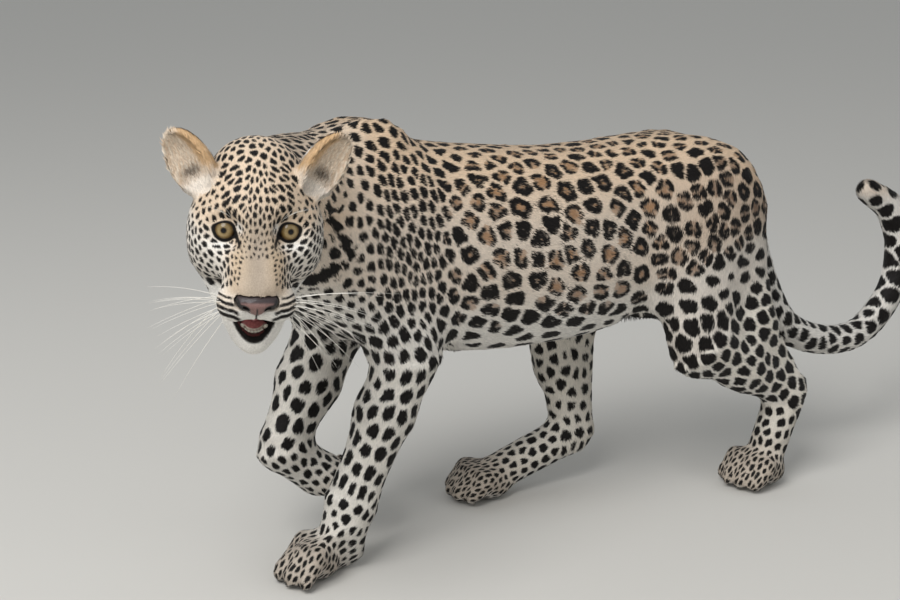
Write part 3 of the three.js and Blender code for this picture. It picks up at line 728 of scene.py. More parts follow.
@dataclass
class Skin:
    """One closed skin under the coat, made from the flesh nodes, with lids and lips shaped on it."""

    voxel: float = 2.3 * MM
    overlap: float = 0.5 * MM
    # The share of faces that stays away from the head
    body_keep: float = 0.62
    # How far the skin lies under the solids' faces, in mm, by the coat that stands on it
    depth_fine: float = 0.9
    depth_paw: float = 1.3
    depth_body: float = 2.6
    deepest_move: float = 6 * MM
    # Splitting rounds: how near an eye's slit in mm, the length that is split, and if at the lips
    splits: tuple = ((9.0, 1.6, True), (3.2, 0.8, False))

    def __post_init__(self) -> None:
        """Builds the skin step by step."""
        self.samples: list = []
        self.sample_node: list = []
        self.cad = self.gather()
        self.tree = BVHTree.FromPolygons(
            [v.co.copy() for v in self.cad.vertices], [tuple(p.vertices) for p in self.cad.polygons])
        self.piece = self.remesh()
        self.mesh = self.piece.data
        self.assign()
        self.settle()
        self.refine()
        self.shape_lids()
        self.shape_lips()

    def gather(self) -> Mesh:
        """Joins copies of the flesh nodes, each grown so that they overlap, and a dome on each eye.

        Returns:
            The joined mesh.
        """
        whole = bmesh.new()
        for number, name in enumerate(FLESH):
            part = welded(name)
            part.normal_update()
            for face in part.faces:
                self.samples.append(face.calc_center_median())
                self.sample_node.append(number)
            moves = [(v, v.normal * self.overlap) for v in part.verts]
            for vertex, move in moves:
                vertex.co += move
            grown = mesh_from(part, "grown")
            whole.from_mesh(grown)
            bpy.data.meshes.remove(grown)
        for eye in EYES.values():
            bmesh.ops.create_uvsphere(
                whole, u_segments=40, v_segments=24, radius=(eye.radius + 1.6) * MM,
                matrix=Matrix.Translation(Vector(HEAD.world(eye.centre()))))
        bmesh.ops.triangulate(whole, faces=whole.faces)
        return mesh_from(whole, "flesh")

    def remesh(self) -> Piece:
        """Fuses the flesh into one surface and thins its faces away from the head.

        Returns:
            The skin as a piece.
        """
        piece = object_from("skin", self.cad.copy())
        fuse(piece, self.voxel, rounded=True)
        s, u, f = HEAD.local(places_of(piece.data)).T
        fine = (f > -75) & (np.abs(s) < 105) & (u > -150) & (u < 110)
        group = piece.vertex_groups.new(name="coarse")
        group.add(np.flatnonzero(~fine).tolist(), 1.0, "REPLACE")
        thin = piece.modifiers.new("thin", "DECIMATE")
        thin.vertex_group, thin.ratio = "coarse", self.body_keep
        bake(piece)
        piece.vertex_groups.clear()
        return piece

    def assign(self) -> None:
        """Notes for each vertex the flesh node that it lies on."""
        near = tree_of(self.samples)
        self.node = np.array([self.sample_node[near.find(p)[1]] for p in places_of(self.mesh)])

    def is_on(self, *names: str) -> Array:
        """True for the vertices that lie on one of the named nodes."""
        return np.isin(self.node, [FLESH.index(n) for n in names])

    def settle(self) -> None:
        """Rounds the facets away and sets the surface under the solids by the depth of the coat."""
        mesh = self.mesh
        edges = edges_of(mesh)
        calm = np.where(self.is_on(*FINE), 0.0, 1.0)
        calm[self.is_on(*PAWS)] = 0.25
        calm = spread(calm, edges, 0.7, 12)
        points = spread(places_of(mesh), edges, 0.5, 3)
        points = spread(points, edges, 0.6 * calm, 34)
        put_places(mesh, points)
        normals = read(mesh.vertex_normals, "vector", 3)
        thick = np.where(self.is_on(*PAWS), self.depth_paw, self.depth_body)
        depth = np.where(self.is_on(*FINE), self.depth_fine, thick) * MM
        gap = np.empty(len(points))
        for i, point in enumerate(points):
            hit = self.tree.find_nearest(Vector(point))[0]
            gap[i] = (Vector(point) - hit).dot(Vector(normals[i]))
        push = np.clip(-depth - self.overlap - gap, -self.deepest_move, self.deepest_move)
        push = spread(push, edges, 0.6, 8)
        put_places(mesh, points + normals * push[:, None])

    def refine(self) -> None:
        """Splits the faces round the eyes and the lips, where the form is finest."""
        for reach, length, lips in self.splits:
            form = bmesh.new()
            form.from_mesh(self.mesh)
            form.verts.ensure_lookup_table()
            local = HEAD.local(places_of(self.mesh))
            near = np.minimum.reduce([np.abs(eye.slit(local)) for eye in EYES.values()]) < reach
            if lips:
                near |= (np.abs(MOUTH.outside(local)) < 5) & (local[:, 2] > 12)
            cut = [
                e for e in form.edges
                if near[e.verts[0].index] and near[e.verts[1].index] and e.calc_length() > length * MM
            ]
            bmesh.ops.subdivide_edges(form, edges=cut, cuts=1, use_grid_fill=True)
            bmesh.ops.triangulate(form, faces=[f for f in form.faces if len(f.verts) > 4])
            form.to_mesh(self.mesh)
            form.free()
        LOG.info("skin has %d faces", len(self.mesh.polygons))

    def shape_lids(self) -> None:
        """Draws the lids over the eyes, thickest at their edges, and cuts a groove under the nose."""
        local = HEAD.local(places_of(self.mesh))
        for eye in EYES.values():
            q = eye.local(local)
            slit = eye.slit(local)
            turn = np.arctan2(q[:, 1], q[:, 0])
            around = np.hypot(q[:, 0], q[:, 1])
            snap = (np.abs(slit) < 0.5) & (q[:, 2] > 0)
            scale = np.where(snap, eye.opening(turn) / np.maximum(around, 1e-6), 1.0)
            q[:, 0] *= scale
            q[:, 1] *= scale
            slit = np.where(snap, 0.0, slit)
            size = np.linalg.norm(q, axis=1)
            lid = eye.radius + 0.9 + 0.8 * smooth(0, 3, slit)
            share = 1 - smooth(1.5, 9, slit)
            goal = np.where(slit < -0.05, eye.radius - 1.6, size + (lid - size) * share)
            active = (q[:, 2] > 0) & (slit < 9)
            q *= np.where(active, goal / np.maximum(size, 1e-6), 1.0)[:, None]
            local = np.where(active[:, None], eye.head_places(q), local)
        s, u, f = local.T
        groove = np.exp(-(s / 1.5) ** 2) * smooth(-70, -64, u) * smooth(66, 72, f)
        groove *= 1 - smooth(-50, -44, u)
        local[:, 2] -= 1.6 * groove
        put_places(self.mesh, HEAD.world(local))
        self.shaped = local

    def shape_lips(self) -> None:
        """Closes the lips at the sides, narrows the chin and evens out the edges of the mouth."""
        mesh, local = self.mesh, self.shaped
        s, over, ahead = MOUTH.along_bite(local).T
        gap = np.clip((ahead - MOUTH.corner) * MOUTH.slope, 0, 20)
        gap = gap * smooth(106, 90, ahead) * smooth(20, 26, np.abs(s))
        gap *= (local[:, 2] > -30) * (np.abs(over) < 30)
        shut = np.sign(over) * 0.9 * gap * np.exp(-np.maximum(np.abs(over) - gap, 0) / 8)
        MOUTH.lower(local, shut)
        under = smooth(-3, -10, MOUTH.along_bite(local)[:, 1])
        chin = under * smooth(35, 55, local[:, 2]) * smooth(-62, -72, local[:, 1])
        local[:, 0] *= 1 - 0.2 * chin
        put_places(mesh, HEAD.world(local))
        calm = (np.abs(MOUTH.outside(local)) < 5) & (local[:, 2] > 0)
        put_places(mesh, spread(places_of(mesh), edges_of(mesh), 0.4 * calm, 3))

    def unwrap(self) -> None:
        """Unwraps the skin on its own shape into the map that bakes use."""
        self.mesh.uv_layers.active = self.mesh.uv_layers.new(name="OFBake")
        bpy.context.view_layer.objects.active = self.piece
        for other in bpy.context.selected_objects:
            other.select_set(False)
        self.piece.select_set(True)
        bpy.ops.object.mode_set(mode="EDIT")
        bpy.ops.mesh.select_all(action="SELECT")
        bpy.ops.uv.smart_project(
            angle_limit=math.radians(72), island_margin=0.002, rotate_method="AXIS_ALIGNED")
        bpy.ops.object.mode_set(mode="OBJECT")
        self.piece.select_set(False)


class Sampler:
    """Chooses places spread evenly over a mesh, closer together where a weight is high."""

    def __init__(self, mesh: Mesh, weight: Array, count: int, random: np.random.Generator) -> None:
        """Picks a triangle and a place in it for each sample.

        Args:
            mesh: the mesh.
            weight: how densely the samples lie at each vertex.
            count: how many samples.
            random: the source of chance.
        """
        mesh.calc_loop_triangles()
        tris = read(mesh.loop_triangles, "vertices", 3, np.int64)
        loops = read(mesh.loop_triangles, "loops", 3, np.int64)
        a, b, c = (places_of(mesh)[tris[:, k]] for k in range(3))
        load = np.linalg.norm(np.cross(b - a, c - a), axis=1) / 2 * weight[tris].min(1)
        share = np.cumsum(load) / load.sum() * count
        ticks = np.arange(count) + random.uniform(0, 1, count)
        pick = np.clip(np.searchsorted(share, np.clip(ticks, 0, count - 1e-6)), 0, len(tris) - 1)
        self.inside = random.dirichlet((1, 1, 1), count)
        self.corners = tris[pick]
        self.loops = loops[pick]
        self.first = self.corners[:, 0]

    def carry(self, values: Array) -> Array:
        """Values at the samples, from values at the vertices."""
        rows = values[self.corners]
        return (rows * (self.inside[..., None] if rows.ndim == 3 else self.inside)).sum(1)

    def carry_loops(self, values: Array) -> Array:
        """Values at the samples, from values at the face corners."""
        return (values[self.loops] * self.inside[..., None]).sum(1)


def gauge(delta: Array, grain: Array, stretch: Array) -> Array:
    """Measures offsets short along the grain and long across it, so that marks come out oblong.

    Args:
        delta: the offsets.
        grain: the direction of the grain at each.
        stretch: how much longer a mark is than wide.

    Returns:
        The lengths.
    """
    along = (delta * grain).sum(-1)
    rest = np.maximum((delta ** 2).sum(-1) - along ** 2, 0)
    return np.sqrt(rest * stretch + along ** 2 / stretch)


@dataclass
class Markings:
    """Marks laid out as cells, each keeping to its own patch of coat with pale lanes between."""

    coat: "Coat"
    # How many marks near a place are looked at, and how many places are worked out at a time
    reach: int = 8
    batch: int = 60000
    # How many places the marks' middles are chosen from, the most marks there can be, how close
    # two middles may come as a share of their pitch, and how often the middles even out
    candidates: int = 42000
    most: int = 9000
    closest: float = 0.80
    rounds: int = 3
    # Shares of the pitch: the roundness of a mark's corners, its greatest reach, how much its edge
    # wavers, the depth of its clefts, and the width of a rosette's ring
    corner: float = 0.06
    widest: float = 0.60
    waver: float = 0.022
    cleft_depth: float = 0.07
    ring_width: float = 0.238
    # Half the width over which the edges of a mark and of its heart fade
    edge: float = 0.5 * MM
    heart_edge: float = 1.0 * MM
    # The heavy marks on the left of the neck: their lines in the body's millimetres, half-widths
    special: tuple = (
        (((-317, -135, 470), (-310, -132, 461), (-294, -110, 437)), 6.0),
        (((-288, -109, 424), (-282, -108, 417), (-276, -108, 404)), 5.6),
        (((-326, -99, 374), (-308, -102, 381), (-297, -105, 388)), 8.5),
    )

    def __post_init__(self) -> None:
        """Plans the marks over the coat and sets out their middles."""
        coat = self.coat
        self.random = np.random.default_rng(SEED + 5)
        self.fields = self.plan()
        self.sites = self.set_out()
        self.fields["near"] = nearest(coat.points, self.reach, self.sites["place"])
        self.lines = []
        for line, width in self.special:
            steps = np.concatenate([np.linspace(a, b, 4) for a, b in zip(line[:-1], line[1:])])
            on_coat = coat.points[nearest(body_m(steps), 1, coat.points)[:, 0]]
            keep = np.r_[True, np.linalg.norm(np.diff(on_coat, axis=0), axis=1) > 1e-6]
            self.lines.append((on_coat[keep], width))

    def plan(self) -> dict:
        """Sets what the marks are like over the coat, region by region.

        Returns:
            A field over the vertices for each of: pitch between marks, lane between them as a
            share of it, stretch along the grain, openness of the rosettes, depth of their hearts'
            colour, direction of the grain, and bareness.
        """
        coat = self.coat
        count = len(coat.points)
        h = coat.height
        x, y, z = coat.body.T
        start = {"pitch": 27.5, "lane": 0.085, "stretch": 1.22, "open": 1.0, "deep": 0.15}
        field = {key: np.full(count, value) for key, value in start.items()}
        grain = np.tile([0.75, 0.0, -0.66], (count, 1))
        grain[:, 2] = np.where(h > 0.8, -0.25, grain[:, 2])

        def over(share: Array, grain_to: tuple = None, **values: float) -> None:
            """Moves the fields towards new values where a share is high."""
            for key, value in values.items():
                field[key] += (value - field[key]) * share
            if grain_to:
                grain[:] = grain + (np.array(grain_to) - grain) * share[:, None]

        trunk = 1 - np.clip(coat.head + coat.tail + coat.shank + coat.foreleg, 0, 1)
        front = smooth(-118, -160, x) * trunk
        leg = np.clip(coat.thigh + coat.shank, 0, 1)
        far = smooth(0, 30, y)
        # Rump, back, low flank and belly
        over(smooth(150, 240, x) * trunk, (0.4, 0, -0.9), pitch=23.0, lane=0.045, open=0.72, deep=0.8)
        over(
            smooth(0.86, 0.98, h) * trunk, (1, 0, -0.1),
            pitch=22.0, lane=0.14, open=0.8, deep=0.4, stretch=1.3)
        over(smooth(0.40, 0.22, h) * trunk, (0.9, 0, -0.3), open=0.7, deep=0.4, stretch=1.2)
        over(smooth(0.22, 0.10, h) * trunk, (1, 0, -0.2), pitch=28.0, open=0.0, lane=0.19, stretch=1.5)
        # Shoulder, neck, its left side, breast and withers
        over(front, (0.25, 0, -0.97), pitch=13.8, lane=0.09, open=0.3, deep=0.9, stretch=1.6)
        over(smooth(-225, -250, x) * trunk, pitch=15.5, lane=0.15, open=0.12, stretch=1.2)
        over(
            smooth(-255, -275, x) * smooth(-60, -90, y) * trunk,
            pitch=16.5, lane=0.18, open=0.0, stretch=1.02)
        over(smooth(335, 300, z) * front, pitch=20.5, lane=0.11, open=0.0, stretch=1.25)
        over(smooth(470, 510, z) * front, pitch=17.0, lane=0.14, open=0.25, stretch=1.25)
        # Legs, with finer spots down the left foreleg and the right hind leg
        over(coat.thigh * smooth(310, 262, z), (0.4, 0, -0.9), pitch=25.0, lane=0.075, open=0.0, stretch=1.15)
        over(coat.shank, pitch=21.5, lane=0.10, open=0.0, stretch=1.2)
        over(coat.foreleg, pitch=21.5, lane=0.145, open=0.0, stretch=1.35)
        over(coat.foreleg * smooth(230, 120, z) * smooth(0, -30, y), pitch=18.5)
        over(leg * far * smooth(300, 250, z), pitch=20.0, lane=0.17)
        over(coat.foreleg * far, pitch=22.5, lane=0.135)
        # Tail with its blotched tip, feet and toes
        over(coat.tail, pitch=22.0, lane=0.11, open=0.0, stretch=1.05)
        over(coat.tail * smooth(600, 650, x), pitch=31.0, lane=0.06, stretch=0.72)
        over(coat.paw * (1 - coat.toe), pitch=15.0, lane=0.17, open=0.0, stretch=1.2)
        over(coat.toe, pitch=9.0, lane=0.16, open=0.0, stretch=1.9)
        limb = np.clip(coat.foreleg + coat.shank + coat.tail + coat.head + coat.paw, 0, 1)
        grain = grain + (coat.flow - grain) * limb[:, None]
        # Head: face, cheeks, forehead, crown, back of the head, throat
        s, u, f, v = on_profile(coat.local)
        side = np.abs(s)
        over(coat.head, pitch=11.2, lane=0.115, open=0.0, stretch=1.9)
        over(coat.head * smooth(33, 42, side), pitch=9.6, lane=0.22, stretch=1.2)
        over(coat.head * smooth(8, 0, v), pitch=8.4, lane=0.15, stretch=1.6)
        over(coat.head * smooth(19, 11, side) * smooth(-4, 4, v), pitch=6.9, lane=0.15, stretch=2.1)
        over(coat.head * smooth(-20, -50, f), pitch=11.0, lane=0.15, stretch=1.5)
        over(coat.head * smooth(-45, -60, u) * smooth(30, 10, f), pitch=15.0, lane=0.26, stretch=1.1)
        # As they rise, the dashes lean towards the middle above the brow and away from it below
        lean = np.sign(s) * smooth(9, 17, side)
        rise = smooth(16, 24, v) - smooth(4, -6, v)
        dashes = np.stack([-0.85 * lean * rise, np.full(count, 0.62), np.full(count, -0.2)], axis=1)
        grain = grain + (dashes @ HEAD.axes - grain) * (coat.head * smooth(0, 20, f + 60))[:, None]
        between = coat.head * smooth(28, 20, side) * smooth(4, 10, f) * smooth(2, -8, v)
        over(between, pitch=5.4, lane=0.24, stretch=1.5)
        grain -= coat.normals * (grain * coat.normals).sum(1)[:, None]
        field["pitch"] = field["pitch"] * MM
        return {**field, "grain": unit(grain), "bare": self.bare().astype(float)}

    def bare(self) -> Array:
        """Finds the coat with no marks: bridge, muzzle, chin, round the eyes, ears and lips.

        Returns:
            True for each bare vertex.
        """
        coat = self.coat
        s, u, f, v = on_profile(coat.local)
        head, side = coat.head > 0.5, np.abs(s)
        bare = head & (side < 12 + 0.16 * (f - 30)) & (f > 24) & (u < -4)
        bare |= head & (f > 54) & (u < -22) & (side < 24)
        bare |= head & (v < -62) & (f > 10)
        for eye in EYES.values():
            bare |= eye.slit(coat.local) < 3.5
        bare |= coat.ear > 0.4
        bare |= (MOUTH.outside(coat.local) < 3) & (coat.head > 0.3)
        return bare

    def set_out(self) -> dict:
        """Sets the middles of the marks at their pitch and lets them even out.

        Returns:
            Arrays with a row for each mark.
        """
        coat, fields, random = self.coat, self.fields, self.random
        weight = np.where(fields["bare"] > 0.5, 0, 1 / fields["pitch"] ** 2)
        sampler = Sampler(coat.mesh, weight, self.candidates, random)
        place, normal = sampler.carry(coat.points), unit(sampler.carry(coat.normals))
        grain, stretch = unit(sampler.carry(fields["grain"])), sampler.carry(fields["stretch"])
        pitch = sampler.carry(fields["pitch"])
        chosen = np.empty(self.most, dtype=np.int64)
        count = 0
        for i in random.permutation(len(place)):
            old = chosen[:count]
            apart = gauge(place[old] - place[i], grain[i], stretch[i])
            if not (apart < self.closest * np.minimum(pitch[old], pitch[i])).any():
                chosen[count] = i
                count += 1
        chosen = chosen[:count]
        for _ in range(self.rounds):
            near = nearest(place, 5, place[chosen])
            apart = gauge(place[:, None] - place[chosen][near], grain[:, None], stretch[:, None])
            owner = near[np.arange(len(place)), apart.argmin(1)]
            total = np.bincount(owner, minlength=count)
            mean = np.stack([np.bincount(owner, place[:, k], count) for k in range(3)], axis=1)
            mean = np.where(total[:, None] > 0, mean / np.maximum(total, 1)[:, None], place[chosen])
            chosen = nearest(mean, 1, place)[:, 0]
        chosen = np.unique(chosen)
        count = len(chosen)
        LOG.info("%d marks", count)
        return {
            "place": place[chosen], "normal": normal[chosen], "grain": grain[chosen],
            "pitch": pitch[chosen], "size": random.normal(0, 1, count),
            "wave": random.uniform(-1, 1, (count, 4)),
            "phase": random.uniform(0, 2 * math.pi, (count, 4)),
            "pieces": random.integers(1, 4, count), "chance": random.uniform(0, 1, count),
        }

    def at(self, rows: dict) -> tuple:
        """How black and how tawny the coat is at each row.

        Args:
            rows: places, normals and the marks' fields.

        Returns:
            The share of black and the share of the tawny heart.
        """
        parts = []
        for start in range(0, len(rows["place"]), self.batch):
            parts.append(self.cells({key: value[start:start + self.batch] for key, value in rows.items()}))
        dark, heart = zip(*parts)
        return np.concatenate(dark), np.concatenate(heart)

    def cells(self, rows: dict) -> tuple:
        """Draws the marks at a batch of rows, each in the cell that is its own.

        Args:
            rows: places, normals and the marks' fields.

        Returns:
            The share of black and the share of the tawny heart.
        """
        sites, near, p = self.sites, rows["near"], rows["place"]
        grain, stretch = unit(rows["grain"])[:, None], rows["stretch"][:, None]
        line = np.arange(len(p))
        size = gauge(p[:, None] - sites["place"][near], grain, stretch)
        facing = (sites["normal"][near] * rows["normal"][:, None]).sum(-1)
        size = size + 0.5 * sites["pitch"][near] * np.clip(0.4 - facing, 0, 1)
        first = size.argmin(1)
        own, short = near[line, first], size[line, first]
        site = {key: value[own] for key, value in sites.items()}
        # How far the border with each neighbour's cell is, blended so that corners are round
        apart = gauge(sites["place"][near] - site["place"][:, None], grain, stretch)
        border = (size ** 2 - short[:, None] ** 2) / (2 * np.maximum(apart, 1e-6))
        border[line, first] = 1.0
        pitch, wave, phase = site["pitch"], site["wave"], site["phase"]
        corner = pitch * self.corner
        border = -corner * np.log(np.exp(-border / corner[:, None]).sum(1))
        offset = p - site["place"]
        across = np.cross(site["normal"], site["grain"])
        turn = np.arctan2((offset * across).sum(1), (offset * site["grain"]).sum(1))
        wobble = sum(wave[:, k] * np.cos((k + 2) * turn + phase[:, k]) for k in range(4))
        lane = (rows["lane"] * (1 + 0.16 * site["size"]) + self.waver * wobble) * pitch
        depth = np.minimum(border - lane, self.widest * pitch - lane - short)
        cleft = np.cos(site["pieces"] * turn + phase[:, 3])
        opened = np.clip(rows["open"] * 1.3 - 0.6 * site["chance"], 0, 1)
        depth = depth - self.cleft_depth * pitch * smooth(0.55, 1.0, cleft) * opened
        mark = smooth(-self.edge, self.edge, depth)
        ring = pitch * (self.ring_width + 0.035 * wave[:, 0]) + (1 - opened) * 0.4 * pitch
        hole = smooth(-self.heart_edge, self.heart_edge, depth - ring)
        cut = smooth(0.80, 0.93, cleft) * smooth(0.45, 0.6, opened) * (site["chance"] < 0.65)
        clear = 1 - rows["bare"]
        special, away = self.special_marks(p)
        dark = np.maximum(mark * (1 - hole) * (1 - cut) * clear * away, special)
        return dark, mark * np.maximum(hole, 0.7 * cut) * clear * away

    def special_marks(self, points: Array) -> tuple:
        """The heavy marks on the left of the neck, and the clear coat round them.

        Args:
            points: places in metres.

        Returns:
            The share of black, and 0 close to the marks rising to 1 away from them.
        """
        gap = np.full(len(points), 99.0)
        wave = 1.3 * np.sin(points[:, 2] * 520 + points[:, 0] * 300)
        for line, width in self.lines:
            for a, b in zip(line[:-1], line[1:]):
                t = np.clip((points - a) @ (b - a) / ((b - a) @ (b - a)), 0, 1)
                away = np.linalg.norm(points - a - t[:, None] * (b - a), axis=1) / MM
                gap = np.minimum(gap, away - width - wave)
        return 1 - smooth(-0.6, 0.6, gap), smooth(2.5, 5.0, gap)


@dataclass
class Coat:
    """Base colours, lie of the hair and markings on the finished skin."""

    skin: Skin
    # Length of the tufts in mm: on the body, what the belly has more, on the head, paws and ears
    body_hair: float = 7.5
    belly_more: float = 4.0
    head_hair: float = 4.2
    paw_hair: float = 4.5
    ear_hair: float = 9.0
    # Where an ear starts in head places, its long axis, and the way its cup faces
    ear_root: tuple = (55, 20, -46)
    ear_along: tuple = (31, 46, -24.0)
    ear_out: tuple = (0.42, 0.28, 0.86)
    # Stripes under the whiskers: height across the face, half-width, where each starts
    stripes: tuple = ((-73.0, 1.3, 25), (-79.3, 1.8, 22), (-85.5, 2.0, 18), (-91.2, 2.0, 16))

    def __post_init__(self) -> None:
        """Reads the skin and works out what grows where."""
        skin = self.skin
        self.mesh = skin.mesh
        skin.assign()
        self.points = places_of(self.mesh)
        self.normals = read(self.mesh.vertex_normals, "vector", 3)
        self.edges = edges_of(self.mesh)
        self.local = HEAD.local(self.points)
        self.body = body_mm(self.points)
        self.random = np.random.default_rng(SEED)
        self.on_head = skin.is_on("head", "jaw")
        self.on_ear = skin.is_on(*pair("ear"))
        low, high = (np.interp(self.body[:, 0], SPINE_X, line) for line in (BELLY_Z, BACK_Z))
        # 0 at the line of the belly and 1 at the line of the back
        self.height = (self.body[:, 2] - low) / (high - low)
        self.soften_regions()
        self.flow = self.lie()
        self.base = self.ground()
        self.length = self.lengths()
        self.markings = Markings(self)

    def share_of(self, *names: str, rounds: int = 14) -> Array:
        """Finds how far each vertex belongs to some nodes.

        Args:
            names: the nodes.
            rounds: how widely their borders fade.

        Returns:
            1 on the named nodes, fading over their borders.
        """
        return spread(self.skin.is_on(*names).astype(float), self.edges, 0.7, rounds)

    def soften_regions(self) -> None:
        """Shares of the main regions, each fading into the next."""
        self.head = self.share_of("head", "jaw")
        self.ear = self.share_of(*pair("ear"), rounds=3)
        self.neck = self.share_of("neck", rounds=30)
        self.foreleg = self.share_of(*pair("forearm", "forepaw"), rounds=30)
        self.shank = self.share_of(*pair("shank", "hind_foot"), rounds=30)
        self.thigh = self.share_of(*pair("thigh"), rounds=30)
        self.tail = self.share_of(*TAIL, rounds=10)
        self.paw = self.share_of(*PAWS, rounds=8)
        toe = np.zeros(len(self.points))
        for name in PAWS:
            start, end = RAYS[name]
            along = (self.body - start) @ (end - start) / ((end - start) @ (end - start))
            toe = np.where(self.skin.is_on(name), smooth(0.35, 0.8, along), toe)
        self.toe = spread(toe, self.edges, 0.6, 6)

    def ear_axes(self, side: Side) -> tuple:
        """The directions up an ear and out of its cup, in head places."""
        along = unit(np.array(self.ear_along) * np.array([side.value, 1, 1]))
        out = np.array(self.ear_out) * np.array([side.value, 1, 1])
        return along, unit(out - along * (out @ along))

    def lie(self) -> Array:
        """Lays the hair back along the body, down the limbs, and away from the nose.

        Returns:
            The direction in which the hair points at each vertex, along the surface.
        """
        flow = np.tile(np.array([0.93, 0.0, -0.36]), (len(self.points), 1))
        flow[:, 2] = np.where(self.height > 0.8, -0.1, -0.38)
        flow[self.skin.is_on("neck")] = (0.72, 0.3, -0.55)
        for name, (start, end) in RAYS.items():
            flow[self.skin.is_on(name)] = unit(end - start)
        from_nose = unit(self.local - np.array([0, -30, 78])) + np.array([0, 0, -0.5])
        flow[self.on_head] = (unit(from_nose) @ HEAD.axes)[self.on_head]
        for side in Side:
            ear = self.on_ear & (self.local[:, 0] * side.value > 0)
            flow[ear] = self.ear_axes(side)[0] @ HEAD.axes
        flow = spread(flow, self.edges, 0.6, 16)
        flow -= self.normals * (flow * self.normals).sum(1)[:, None]
        return unit(flow)

    def ground(self) -> Array:
        """Colours the coat between its marks.

        Returns:
            A linear colour for each vertex.
        """
        h, count = self.height, len(self.height)
        haunch = smooth(130, 230, self.body[:, 0]) * smooth(0.0, 0.55, h) * smooth(1.0, 0.8, h)
        haunch = haunch * (1 - self.tail)
        under = smooth(0.2, 0.75, -self.normals[:, 2])
        colour = FUR.over(
            FUR.flat("belly", count),
            ("flank", smooth(0.12, 0.42, h)),
            ("back", smooth(0.55, 0.98, h)),
            ("flank", self.neck * smooth(0.1, 0.4, h) * 0.5),
            ("haunch", np.maximum(0.7 * haunch, 0.25 * self.thigh)))
        leg = FUR.over(FUR.flat("leg", count), ("belly", under))
        colour = mix(colour, leg, np.clip(self.foreleg + self.shank, 0, 1))
        colour = FUR.over(
            colour,
            ("white", self.foreleg * 0.4),
            ("paw", self.toe * 0.75),
            ("white", under * (1 - self.head) * 0.6))
        colour = mix(colour, self.face_ground(), self.head)
        for side in Side:
            colour = self.paint_ear(colour, side)
        for eye in EYES.values():
            out, up, along = eye.local(self.local).T
            inner = np.exp(-(((out + 17) / 5) ** 2 + ((up - 3) / 6) ** 2)) * (along > -4)
            below = np.exp(-(((out - 2) / 13) ** 2 + ((up + 17) / 3.5) ** 2)) * (along > -4)
            colour = FUR.over(colour, ("white", np.clip(inner + below, 0, 1)))
        return colour

    def face_ground(self) -> Array:
        """Colours the face: a greyish bridge between tawny sides, pale cheeks, pads and chin.

        Returns:
            A linear colour for each vertex.
        """
        s, u, f, v = on_profile(self.local)
        side = np.abs(s)
        bridge = np.exp(-(s / (13 + 0.16 * f)) ** 2) * smooth(-6, 30, f) * smooth(-54, -44, u)
        return FUR.over(
            FUR.flat("crown", len(s)),
            ("bridge_side", smooth(34, 16, side) * smooth(10, 40, f) * smooth(74, 50, f) * 0.8),
            ("bridge", bridge),
            ("cheek", smooth(22, 40, side) * smooth(10, -16, u) * smooth(-85, -40, f)),
            ("pad", smooth(14, 22, side) * smooth(24, 38, f) * smooth(-62, -72, v)),
            ("white", np.maximum(smooth(-62, -70, u), smooth(-81, -85, v) * (f > 20))))

    def paint_ear(self, colour: Array, side: Side) -> Array:
        """Colours an ear: a black back with a pale spot, a tan rim, and a pale cup with painted shade in its
        hollow.

        Args:
            colour: the coat's colours so far.
            side: which ear.

        Returns:
            The new colours.
        """
        along, out = self.ear_axes(side)
        wide = np.cross(along, out) * side.value
        q = self.local - np.array(self.ear_root) * np.array([side.value, 1, 1])
        tall, across = q @ along, q @ wide
        facing = (self.normals @ HEAD.axes.T) @ out
        front = smooth(-0.2, 0.4, facing)
        streak = 0.5 + 0.5 * np.sin(across * 1.3 + tall * 0.5 + 1.5 * np.sin(tall * 0.21))
        hair = front * smooth(0.25, 0.6, facing) * smooth(2, 12, tall) * (0.12 + 0.75 * streak)
        # Painted shade deep in the cup, lighter along the streaks of pale hair
        hollow = front * np.exp(-((tall - 13) / 7) ** 2) * np.exp(-((across - 6) / 11) ** 4)
        hollow = hollow * (0.7 + 0.3 * (1 - streak))
        rim = smooth(0.42, 0.05, np.abs(facing)) * smooth(2, 12, tall)
        rim = np.maximum(rim, front * smooth(2, 13, -across) * smooth(8, 20, tall) * 0.9)
        ear = FUR.over(
            FUR.flat("ear_back", len(colour)),
            ("ear_cup", front),
            ("white", np.exp(-((tall - 26) / 9) ** 2) * (1 - front)),
            ("ear_hair", hair),
            ("ear_back", 0.95 * hollow),
            ("cheek", front * smooth(11, 0, tall) * 0.85),
            ("ear_rim", np.clip(rim, 0, 1)))
        return mix(colour, ear, self.ear * (self.local[:, 0] * side.value > 0))

    def cup(self) -> Array:
        """1 in the cups of the ears, where long hair stands, and 0 elsewhere."""
        facing = np.stack([(self.normals @ HEAD.axes.T) @ self.ear_axes(side)[1] for side in Side])
        return smooth(0.5, 0.8, np.where(self.local[:, 0] > 0, *facing))

    def lengths(self) -> Array:
        """Sets how long the tufts are and how far they stand off the skin.

        Returns:
            The length of the tufts at each vertex, in metres.
        """
        u, f = self.local[:, 1], self.local[:, 2]
        trunk = (1 - self.foreleg) * (1 - self.shank) * (1 - self.tail) * (1 - 0.8 * self.thigh)
        cup = self.ear * self.cup()
        length = np.full(len(self.points), self.body_hair)
        length += self.belly_more * smooth(0.3, 0.05, self.height) * trunk
        length = length * (1 - self.head) + self.head_hair * self.head
        length = length * (1 - self.paw) + self.paw_hair * self.paw
        length += 2.5 * self.tail
        length -= 1.4 * smooth(10, 50, f) * self.head
        length += 5.0 * self.head * smooth(-35, -60, u) * smooth(20, -10, f)
        length += (self.ear_hair - length) * cup
        self.lift = 0.075 + 0.1 * cup + 0.08 * self.head * smooth(-55, -70, u)
        return np.clip(length, 2.4, 16) * MM

